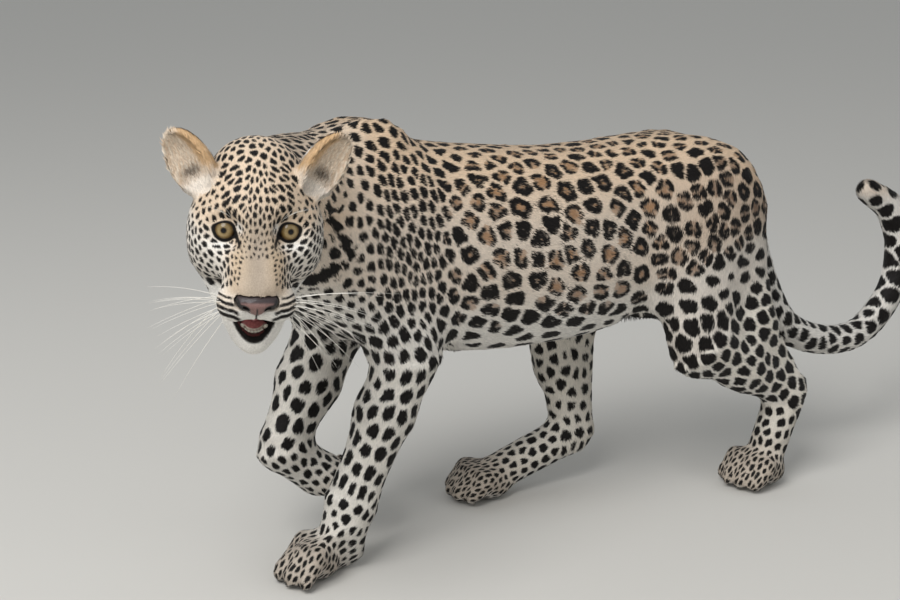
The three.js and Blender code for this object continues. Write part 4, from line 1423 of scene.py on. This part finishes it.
    def colours(self, rows: dict) -> Array:
        """The coat's colour at each row: the ground with the marks, the lips and the lids on it.

        Args:
            rows: places, normals, ground colours and the marks' fields, a row for each point.

        Returns:
            Linear colours.
        """
        dark, heart = self.markings.at(rows)
        return FUR.over(
            rows["base"],
            ("heart", heart * (1 - rows["deep"]) * 0.9),
            ("heart_dark", heart * rows["deep"] * 0.9),
            ("mark", np.maximum(dark, self.face_marks(HEAD.local(rows["place"])))))

    def face_marks(self, local: Array) -> Array:
        """Draws whisker stripes, dark lids and tear lines, lips, and the split under the nose.

        Args:
            local: head places.

        Returns:
            The share of black at each.
        """
        s, u, f, v = on_profile(local)
        dark = np.zeros(len(local))
        side = np.abs(s)
        for start, width, first in self.stripes:
            line = np.abs(v - start - 0.33 * (side - 20) + 0.45 * np.sin(side * 0.45))
            stripe = (1 - smooth(width * 0.7, width * 1.3, line)) * smooth(first - 2, first + 2, side)
            stripe *= (f > 25) * (u < -30) * (u > -75)
            dark = np.maximum(dark, stripe)
        for eye in EYES.values():
            out, up, along = eye.local(local).T
            dark = np.maximum(dark, 1 - smooth(1.7, 2.9, eye.slit(local)))
            t = -(out + 12)
            tear = 1 - smooth(0.6, 1.1, np.abs(up + 5.5 + 0.9 * t) / 3.8)
            dark = np.maximum(dark, tear * smooth(0, 1, t) * (1 - smooth(7, 11, t)) * (along > -6))
        gape = MOUTH.outside(local)
        _, over, ahead = MOUTH.along_bite(local).T
        band = 1.4 + 2.6 * smooth(86, 104, ahead)
        lip = np.where(over < 0, 1 - smooth(band, band + 1.6, gape), 1 - smooth(1.4, 2.4, gape))
        dark = np.maximum(dark, lip * (f > -5))
        philtrum = (1 - smooth(0.7, 1.5, side)) * (f > 62) * (u < -46) * (u > -68)
        return np.maximum(dark, philtrum)

    def dress_skin(self) -> None:
        """Stores the coat's colours on the skin."""
        rows = {"place": self.points, "normal": self.normals, "base": self.base}
        colour = self.colours({**rows, **self.markings.fields})
        inside = (MOUTH.outside(self.local) < 0.6) & (self.local[:, 2] > -20) & self.on_head
        deep = smooth(86, 100, MOUTH.along_bite(self.local)[:, 2])
        lining = FUR.over(FUR.flat("lip", len(colour)), ("mouth", deep))
        colour[inside] = lining[inside]
        set_attribute(self.mesh, "coat", colour)
        self.mesh.materials.clear()
        self.mesh.materials.append(ShortFur("leopard_skin", roughness=0.7, strand_mm=1.4, bump=0.4).make())
        self.mesh.shade_smooth()

    def grow(self, total: int) -> dict:
        """Chooses where the tufts stand: closer together on the face and feet.

        Args:
            total: about how many tufts.

        Returns:
            Arrays with a row for each tuft.
        """
        on_head, f = self.head > 0.2, self.local[:, 2]
        dense = 1 + 2.2 * self.head + 1.2 * self.paw + 0.8 * self.ear
        gape, over = MOUTH.outside(self.local), MOUTH.along_bite(self.local)[:, 1]
        bald = (gape < 1.5) & on_head & (f > -25)
        bald |= (gape < 5.0) & (over < 0) & on_head & (f > 0)
        for eye in EYES.values():
            bald |= eye.slit(self.local) < 1.4
        sampler = Sampler(self.mesh, np.where(bald, 0, dense), total, self.random)
        rows = {key: sampler.carry(value) for key, value in self.markings.fields.items() if key != "near"}
        rows.update({
            "root": sampler.carry(self.points), "normal": unit(sampler.carry(self.normals)),
            "flow": unit(sampler.carry(self.flow)), "base": sampler.carry(self.base),
            "length": sampler.carry(self.length), "lift": sampler.carry(self.lift),
            "uv": sampler.carry_loops(read(self.mesh.uv_layers["OFBake"].data, "uv", 2)),
            "near": self.markings.fields["near"][sampler.first], "node": self.skin.node[sampler.first],
        })
        return rows


def cut_out(whole: Mesh, keep: Array, name: str) -> Piece:
    """Copies the chosen faces of a mesh into a closed piece that keeps the whole's shading.

    Args:
        whole: the mesh, with its own normals stored as the attribute "bent".
        keep: True for each face that the piece takes.
        name: the piece's name.

    Returns:
        The piece, its cut closed by a fan of faces inside the body.
    """
    form = bmesh.new()
    form.from_mesh(whole)
    form.faces.ensure_lookup_table()
    bmesh.ops.delete(form, geom=[form.faces[i] for i in np.flatnonzero(~keep)], context="FACES")
    rims = [e for e in form.edges if e.is_boundary]
    caps = bmesh.ops.holes_fill(form, edges=rims, sides=0)["faces"]
    for cap in caps:
        mine, other = cap.edges[0].link_loops
        if mine.vert == other.vert:
            cap.normal_flip()
    bmesh.ops.poke(form, faces=caps)
    mesh = mesh_from(form, name)
    bent = read(mesh.attributes["bent"].data, "vector", 3)
    mesh.attributes.remove(mesh.attributes["bent"])
    mesh.shade_smooth()
    mesh.normals_split_custom_set_from_vertices(bent.tolist())
    mesh.materials.append(whole.materials[0])
    return object_from(name, mesh)


def divide(coat: Coat) -> list:
    """Cuts the dressed skin across the neck and the ribs, so that each piece exports whole.

    Args:
        coat: the coat, on the skin that is cut.

    Returns:
        Each piece with the flesh nodes that it stands for.
    """
    mesh = coat.mesh
    mesh.attributes.new("bent", "FLOAT_VECTOR", "POINT").data.foreach_set(
        "vector", coat.normals.astype(np.float32).ravel())
    corners = read(mesh.loops, "vertex_index", kind=np.int64)
    starts = read(mesh.polygons, "loop_start", kind=np.int64)
    sizes = np.diff(np.append(starts, len(corners)))

    def faces_on(names: tuple) -> Array:
        """True for the faces that lie mostly on the named nodes."""
        share = coat.share_of(*names, rounds=20)[corners]
        return np.add.reduceat(share, starts) / sizes > 0.5

    front = faces_on(FINE)
    rear = faces_on(HIND) & ~front
    pieces = [
        (cut_out(mesh, front, "skin_head"), FINE),
        (cut_out(mesh, ~front & ~rear, "skin_fore"), FORE),
        (cut_out(mesh, rear, "skin_hind"), HIND),
    ]
    bpy.data.objects.remove(coat.skin.piece)
    return pieces


# The coat's pieces, and the flesh nodes that each grows on
COAT_ZONES = {
    "coat_head": ("head", "jaw"),
    "coat_ears": pair("ear"),
    "coat_neck": ("neck",),
    "coat_chest": ("chest",),
    "coat_belly": ("belly",),
    "coat_rump": ("rump", "tail_1"),
    "coat_tail": ("tail_2", "tail_3", "tail_4"),
    "coat_arms": pair("upper_arm"),
    "coat_forelegs": pair("forearm", "forepaw"),
    "coat_thighs": pair("thigh"),
    "coat_shanks": pair("shank", "hind_foot"),
}


@dataclass
class Tufts:
    """Flat-lying tufts: each a thin closed sliver that rises from its root and lies back at its tip."""

    coat: Coat
    full: int = 360000
    quick: int = 60000
    # A piece stays under this many faces, because its STL file is thinned past 200,000
    most_faces: int = 195000
    # Half the width of a tuft: a share of its length, and what every tuft has more
    wide_share: float = 0.045
    wide_more: float = 0.18 * MM
    # How much tufts differ: in direction as radians, in length as shares, in tone as a share
    turn_spread: float = 0.16
    length_spread: tuple = (0.75, 1.2)
    tone_spread: float = 0.07
    # The four faces of a tuft, by its corners: root, two sides and tip
    faces: tuple = ((0, 2, 1), (1, 2, 3), (0, 1, 3), (0, 3, 2))
    patch: float = 0.003

    def __post_init__(self) -> None:
        """Grows the tufts and joins them into one piece or two for each zone."""
        coat = self.coat
        self.material = ShortFur("leopard_guard_hair", roughness=0.55, strand_mm=0.9, bump=0.1).make()
        rows = coat.grow(self.full)
        self.pieces = []
        random = coat.random
        count = len(rows["root"])
        turn = random.normal(0, self.turn_spread, count)
        across = np.cross(rows["normal"], rows["flow"])
        rows["flow"] = rows["flow"] * np.cos(turn)[:, None] + across * np.sin(turn)[:, None]
        rows["across"] = np.cross(rows["normal"], rows["flow"])
        rows["length"] = rows["length"] * random.uniform(*self.length_spread, count)
        for key, part in (("low", 0.3), ("colour", 0.62)):
            rows["place"] = rows["root"] + rows["flow"] * (rows["length"] * part)[:, None]
            rows[key] = coat.colours(rows)
        tone = random.normal(1.0, self.tone_spread, count)[:, None]
        for key in ("low", "colour"):
            rows[key] = np.clip(rows[key] * tone, 0, 1)
        for name, nodes in COAT_ZONES.items():
            chosen = np.flatnonzero(np.isin(rows["node"], [FLESH.index(n) for n in nodes]))
            parts = max(1, math.ceil(len(chosen) * len(self.faces) / self.most_faces))
            for k, group in enumerate(np.array_split(chosen, parts)):
                label = name if parts == 1 else f"{name}_{k + 1}"
                self.pieces.append(self.join(label, {key: value[group] for key, value in rows.items()}))

    def join(self, name: str, t: dict) -> Piece:
        """Makes one mesh of many tufts, with their colours and their patches on the bake map.

        Args:
            name: the piece's name.
            t: arrays with a row for each tuft.

        Returns:
            The piece.
        """
        across, normal, flow = t["across"], t["normal"], t["flow"]
        count = len(t["root"])
        length = t["length"][:, None]
        wide = (self.wide_share * t["length"] + self.wide_more)[:, None]
        rise = length * t["lift"][:, None]
        middle = t["root"] + flow * length * 0.42 + normal * rise
        places = np.stack([
            t["root"] - normal * 0.4 * MM, middle + across * wide, middle - across * wide,
            t["root"] + flow * length + normal * rise * 0.8], axis=1)
        faces = np.array(self.faces)
        mesh = bpy.data.meshes.new(name)
        mesh.vertices.add(count * 4)
        mesh.loops.add(count * faces.size)
        mesh.polygons.add(count * len(faces))
        mesh.vertices.foreach_set("co", places.astype(np.float32).ravel())
        corner = (faces[None] + (np.arange(count) * 4)[:, None, None]).ravel()
        mesh.loops.foreach_set("vertex_index", corner.astype(np.int32))
        mesh.polygons.foreach_set("loop_start", (np.arange(count * len(faces)) * 3).astype(np.int32))
        mesh.update(calc_edges=True)
        colour = np.stack([t["low"], t["low"], t["low"], t["colour"]], axis=1).reshape(-1, 3)
        # Painted shade and light on each tuft: the root corner darker, under the tufts that lie over it, and
        # the tip painted a little lighter
        shade = np.tile(np.array([0.8, 1.0, 1.0, 1.05]), count)[:, None]
        set_attribute(mesh, "coat", np.clip(colour * shade, 0, 1))
        patch = np.array([[0.0, 0.0], [0.5, 0.5], [-0.5, 0.5], [0.0, 1.0]]) * self.patch
        uv = (t["uv"][:, None] + patch[None]).reshape(-1, 2)
        layer = mesh.uv_layers.new(name="OFBake")
        layer.data.foreach_set("uv", uv[corner].astype(np.float32).ravel())
        bent = np.stack([
            normal - 0.2 * flow, normal + 0.45 * across, normal - 0.45 * across,
            normal + 0.15 * flow], axis=1)
        mesh.shade_smooth()
        mesh.normals_split_custom_set_from_vertices(unit(bent).reshape(-1, 3).tolist())
        mesh.materials.append(self.material)
        return object_from(name, mesh)


@dataclass
class EyeBall:
    """A wet ball with an amber-olive iris of fine fibres round a small pupil."""

    name: str
    eye: Eye
    cornea_radius: float = 9.8
    cornea_rise: float = 0.9

    def build(self) -> Piece:
        """Builds the ball with a cornea that stands a little proud.

        Returns:
            The piece.
        """
        form = bmesh.new()
        bmesh.ops.create_uvsphere(form, u_segments=64, v_segments=40, radius=self.eye.radius)
        for vertex in form.verts:
            off = math.hypot(vertex.co.x, vertex.co.y)
            if vertex.co.z > 0:
                vertex.co.z += self.cornea_rise * max(0.0, 1 - (off / self.cornea_radius) ** 2)
        ball = np.array([list(v.co) for v in form.verts])
        mesh = mesh_from(form, self.name)
        put_places(mesh, HEAD.world(self.eye.head_places(ball)))
        if self.eye.side is Side.RIGHT:
            mesh.flip_normals()
        behind = np.where(ball[:, 2] > 0, 0, 30)
        set_attribute(mesh, "off_axis", np.hypot(ball[:, 0], ball[:, 1]) + behind)
        # The height across the ball, which the iris material reads to paint the shade of the upper lid
        set_attribute(mesh, "over", ball[:, 1])
        mesh.shade_smooth()
        mesh.materials.append(IrisTissue().make())
        return object_from(self.name + "_ball", mesh)


@dataclass
class Whiskers:
    """Long white whiskers in four rows on each pad, and a few brow hairs over each eye."""

    rings: int = 9
    sides: int = 5
    whisker_length: tuple = (78, 118)
    brow_length: tuple = (28, 42)
    # Rows on a pad: up and ahead in head places, and how many hairs
    rows: tuple = ((-45, 66, 3), (-50, 67, 5), (-55, 66, 5), (-59, 64, 4))
    brow_hairs: int = 4
    whisker_thick: float = 0.45
    brow_thick: float = 0.22
    root_depth: float = 4.0
    # The whiskers stay behind this place along the room's first axis, in metres
    limit: float = -0.634

    def __post_init__(self) -> None:
        """Sets the source of chance and an empty form."""
        self.random = np.random.default_rng(SEED + 1)
        self.form = bmesh.new()

    def build(self) -> Piece:
        """Grows every hair as a tapered tube that droops.

        Returns:
            The piece.
        """
        random = self.random
        for side in Side:
            s = side.value
            for row, (u, f, many) in enumerate(self.rows):
                for k in range(many):
                    start = np.array([s * (27 + 3.4 * k), u - 0.5 * k + 0.8 * random.normal(), f - 5.0 * k])
                    fall = math.radians(4 + 17 * row - 4 * k + random.normal(0, 7))
                    aim = unit(np.array([
                        s * math.cos(fall), -0.9 * math.sin(fall), 0.3 * math.sin(fall) - 0.12]))
                    length = random.uniform(*self.whisker_length)
                    while HEAD.world(start + aim * length)[0] < self.limit:
                        length *= 0.95
                    self.hair(start, aim, length, self.whisker_thick, random.uniform(0.15, 0.5))
            for k in range(self.brow_hairs):
                start = np.array([s * (26 + 3 * k), 17 + 1.0 * k, 4 - 2 * k])
                aim = unit(np.array([s * (0.25 + 0.25 * k), 0.8, 0.25]))
                self.hair(start, aim, random.uniform(*self.brow_length), self.brow_thick, 0.3)
        mesh = mesh_from(self.form, "whiskers")
        mesh.shade_smooth()
        mesh.materials.append(Keratin().make())
        return object_from("whiskers", mesh)

    def hair(self, start: Array, aim: Array, length: float, thick: float, droop: float) -> None:
        """Adds one hair.

        Args:
            start: its root in head places.
            aim: its direction at the root.
            length: its length in mm.
            thick: its radius at the root in mm.
            droop: how far it bends down over its length.
        """
        form = self.form
        down = HEAD.axes @ np.array([0, 0, -1.0])
        point, way = start - aim * self.root_depth, aim.copy()
        step = (length + self.root_depth) / self.rings
        last = None
        for ring in range(self.rings + 1):
            radius = thick * (1 - 0.85 * ring / self.rings)
            side = unit(np.cross(way, [0.1, 0.2, 0.97]))
            over = np.cross(way, side)
            circle = []
            for k in range(self.sides):
                turn = 2 * math.pi * k / self.sides
                place = point + (side * math.cos(turn) + over * math.sin(turn)) * radius
                circle.append(form.verts.new(HEAD.world(place)))
            if last:
                for k in range(self.sides):
                    after = (k + 1) % self.sides
                    form.faces.new((last[k], last[after], circle[after], circle[k]))
            else:
                form.faces.new(circle[::-1])
            last = circle
            way = unit(way + down * droop / self.rings)
            point = point + way * step
        form.faces.new(last)


@dataclass
class Face:
    """Nose pad, tongue, gum and lower teeth, each from its CAD node with a finer surface."""

    # The crowns of the teeth start at this height over the bite and lose this share
    crown_over: float = -27.5
    crown_less: float = 0.5

    def __post_init__(self) -> None:
        """Builds and paints the three pieces."""
        self.nose = self.finer("nose_pad", "nose", 0.8, 3)
        self.tongue = self.finer("tongue_flesh", "tongue", 0.8, 6)
        self.teeth = self.finer("teeth_row", "teeth_lower", 0.5, 2)
        self.shorten_teeth()
        self.paint_nose()
        self.paint_tongue()
        self.paint_teeth()

    @staticmethod
    def finer(name: str, node: str, voxel_mm: float, rounds: int) -> Piece:
        """Copies a CAD node into a new piece with a fine, rounded surface.

        Args:
            name: the new piece's name.
            node: the CAD node.
            voxel_mm: the size of the new surface's cells.
            rounds: how many rounds of smoothing.

        Returns:
            The new piece.
        """
        piece = object_from(name, mesh_from(welded(node), name))
        fuse(piece, voxel_mm * MM)
        put_places(piece.data, spread(places_of(piece.data), edges_of(piece.data), 0.5, rounds))
        piece.data.shade_smooth()
        return piece

    @staticmethod
    def paint(piece: Piece, finish: WetTissue, ground: str, *layers: tuple) -> None:
        """Stores a piece's colours and sets its material.

        Args:
            piece: the piece.
            finish: what it is made of.
            ground: the lowest colour, as sRGB hex.
            layers: pairs of a colour and its share for each vertex, lowest first.
        """
        mesh = piece.data
        colour = np.tile(linear(ground), (len(mesh.vertices), 1))
        for hexa, share in layers:
            colour = mix(colour, linear(hexa), share)
        set_attribute(mesh, "coat", np.clip(colour, 0, 1))
        mesh.materials.clear()
        mesh.materials.append(finish.make())

    def shorten_teeth(self) -> None:
        """Sets the tooth crowns lower in the gum, as much as the photograph shows."""
        mesh = self.teeth.data
        local = HEAD.local(places_of(mesh))
        over = MOUTH.along_bite(local)[:, 1] - self.crown_over
        MOUTH.lower(local, np.maximum(over, 0) * self.crown_less)
        put_places(mesh, HEAD.world(local))

    def paint_nose(self) -> None:
        """Pinkish brown leather, slate along the top, black round the nostrils, painted shade black inside
        them, and black down the split.
        """
        s, _, _, v = on_profile(HEAD.local(places_of(self.nose.data)))
        side = np.abs(s)
        wing = 0.55 * (v + 80)
        nostril = np.hypot((side - 12.5) / 6.0, (v + 80.5 - 0.35 * (side - 12.5)) / 3.4)
        self.paint(
            self.nose, WetTissue("nose_leather_skin", 1.1, 0.25, roughness=0.55, film=0.12), "80605a",
            ("35292a", smooth(-77.0, -73.5, v)),
            ("120c0b", smooth(13.0 + wing, 15.5 + wing, side)),
            # Painted shade: the nostrils black inside
            ("0b0706", 1 - smooth(0.7, 1.15, nostril)),
            ("1a1211", (1 - smooth(0.4, 1.3, side)) * smooth(-79, -83, v)))

    def paint_tongue(self) -> None:
        """Rosy flesh, painted darker towards the throat as shade inside the mouth, with a darker line down
        the middle as painted shade of a groove.
        """
        s, _, f = HEAD.local(places_of(self.tongue.data)).T
        self.paint(
            self.tongue, WetTissue("tongue_skin", 0.8, 0.3, film=0.6), "e3a09e",
            # Painted shade: darker towards the throat, deep in the mouth
            ("8c4145", smooth(62, 20, f)),
            # Painted shade of a groove down the middle of the tongue
            ("b06466", 0.5 * np.exp(-(s / 1.4) ** 2)))

    def paint_teeth(self) -> None:
        """Ivory teeth standing in a dark rosy gum."""
        s, over, ahead = MOUTH.along_bite(HEAD.local(places_of(self.teeth.data))).T
        ring = np.hypot(s / 16.0, (ahead - 99) / 16.0)
        self.paint(
            self.teeth, WetTissue("tooth_and_gum", 2.5, 0.05, roughness=0.25), "a86060",
            ("eee6d4", smooth(-27.4, -26.6, over) * smooth(0.72, 0.8, ring)))


@dataclass
class Stage:
    """Pale floor, soft light and the camera of the photograph."""

    sky: str = "dfe3e6"
    sky_strength: float = 0.62
    # Broad lamps: name, place in metres, watts, width in metres
    lamps: tuple = (("key", (-2.4, -1.5, 3.1), 132, 2.2), ("fill", (2.2, -3.0, 1.8), 10, 2.2))
    aim: tuple = (-0.1, 0, 0.3)
    # The camera: place in the body's millimetres, azimuth and pitch in degrees, and its focal
    # length as a share of the picture's width
    camera_place: tuple = (-1123.4, -1858.6, 855.5)
    camera_azimuth: float = -29.1
    camera_pitch: float = 14.56
    focal_share: float = 1757.2 / 900
    sensor_width: float = 36.0

    def build(self) -> None:
        """Sets the stage."""
        self.lay_floor()
        self.light()
        self.stand_camera()

    @staticmethod
    def lay_floor() -> None:
        """Lays a wide pale floor."""
        form = bmesh.new()
        bmesh.ops.create_grid(form, x_segments=1, y_segments=1, size=30)
        mesh = mesh_from(form, "floor")
        mesh.materials.append(PaleFloor().make())
        object_from("floor", mesh)

    @staticmethod
    def hold(name: str, data: bpy.types.ID, place: tuple, towards: Vector) -> Piece:
        """Stands a lamp or a camera at a place.

        Args:
            name: its name.
            data: the lamp or the camera.
            place: where it stands, in metres.
            towards: the direction in which it points.

        Returns:
            Its object.
        """
        holder = bpy.data.objects.new(name, data)
        holder.location = place
        holder.rotation_mode = "QUATERNION"
        holder.rotation_quaternion = towards.to_track_quat("-Z", "Y")
        bpy.context.scene.collection.objects.link(holder)
        return holder

    def light(self) -> None:
        """Sets an overcast sky with one broad lamp high on the left and a weak one opposite."""
        world = bpy.data.worlds.new("soft_sky")
        bpy.context.scene.world = world
        world.use_nodes = True
        background = world.node_tree.nodes["Background"]
        background.inputs["Color"].default_value = (*linear(self.sky), 1)
        background.inputs["Strength"].default_value = self.sky_strength
        for name, place, power, size in self.lamps:
            lamp = bpy.data.lights.new(name, "AREA")
            lamp.energy, lamp.size = power, size
            self.hold(name, lamp, place, Vector(self.aim) - Vector(place))
        bpy.context.scene.view_settings.view_transform = "Standard"

    def stand_camera(self) -> None:
        """Stands the camera where the photographer stood."""
        azimuth, pitch = math.radians(self.camera_azimuth), math.radians(self.camera_pitch)
        data = bpy.data.cameras.new("camera")
        data.sensor_width = self.sensor_width
        data.lens = self.focal_share * self.sensor_width
        data.clip_start, data.clip_end = 0.05, 100
        towards = -Vector((
            math.sin(azimuth) * math.cos(pitch), -math.cos(azimuth) * math.cos(pitch), math.sin(pitch)))
        place = Vector(body_m(self.camera_place))
        bpy.context.scene.camera = self.hold("camera", data, place, towards)


def report(piece: Piece, *nodes: str) -> None:
    """Lets a piece ride on the part, hides the nodes that it replaces, and logs it.

    Args:
        piece: the piece.
        nodes: the nodes that it replaces.
    """
    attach(piece, "root")
    if nodes:
        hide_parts(*nodes)
    LOG.info("%s: %d faces", piece.name, len(piece.data.polygons))


def main() -> None:
    """Builds the pieces in order."""
    logging.basicConfig(level=logging.INFO, format="%(message)s")
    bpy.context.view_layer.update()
    Stage().build()
    skin = Skin()
    skin.unwrap()
    coat = Coat(skin)
    coat.dress_skin()
    tufts = Tufts(coat)
    for piece, nodes in divide(coat):
        report(piece, *nodes)
    for piece in tufts.pieces:
        report(piece)
    for name, eye in EYES.items():
        ball = EyeBall(name, eye).build()
        report(ball, name)
    face = Face()
    report(face.nose, "nose")
    report(face.tongue, "tongue")
    report(face.teeth, "teeth_lower")
    whiskers = Whiskers().build()
    report(whiskers)


if __name__ == "__main__":
    main()
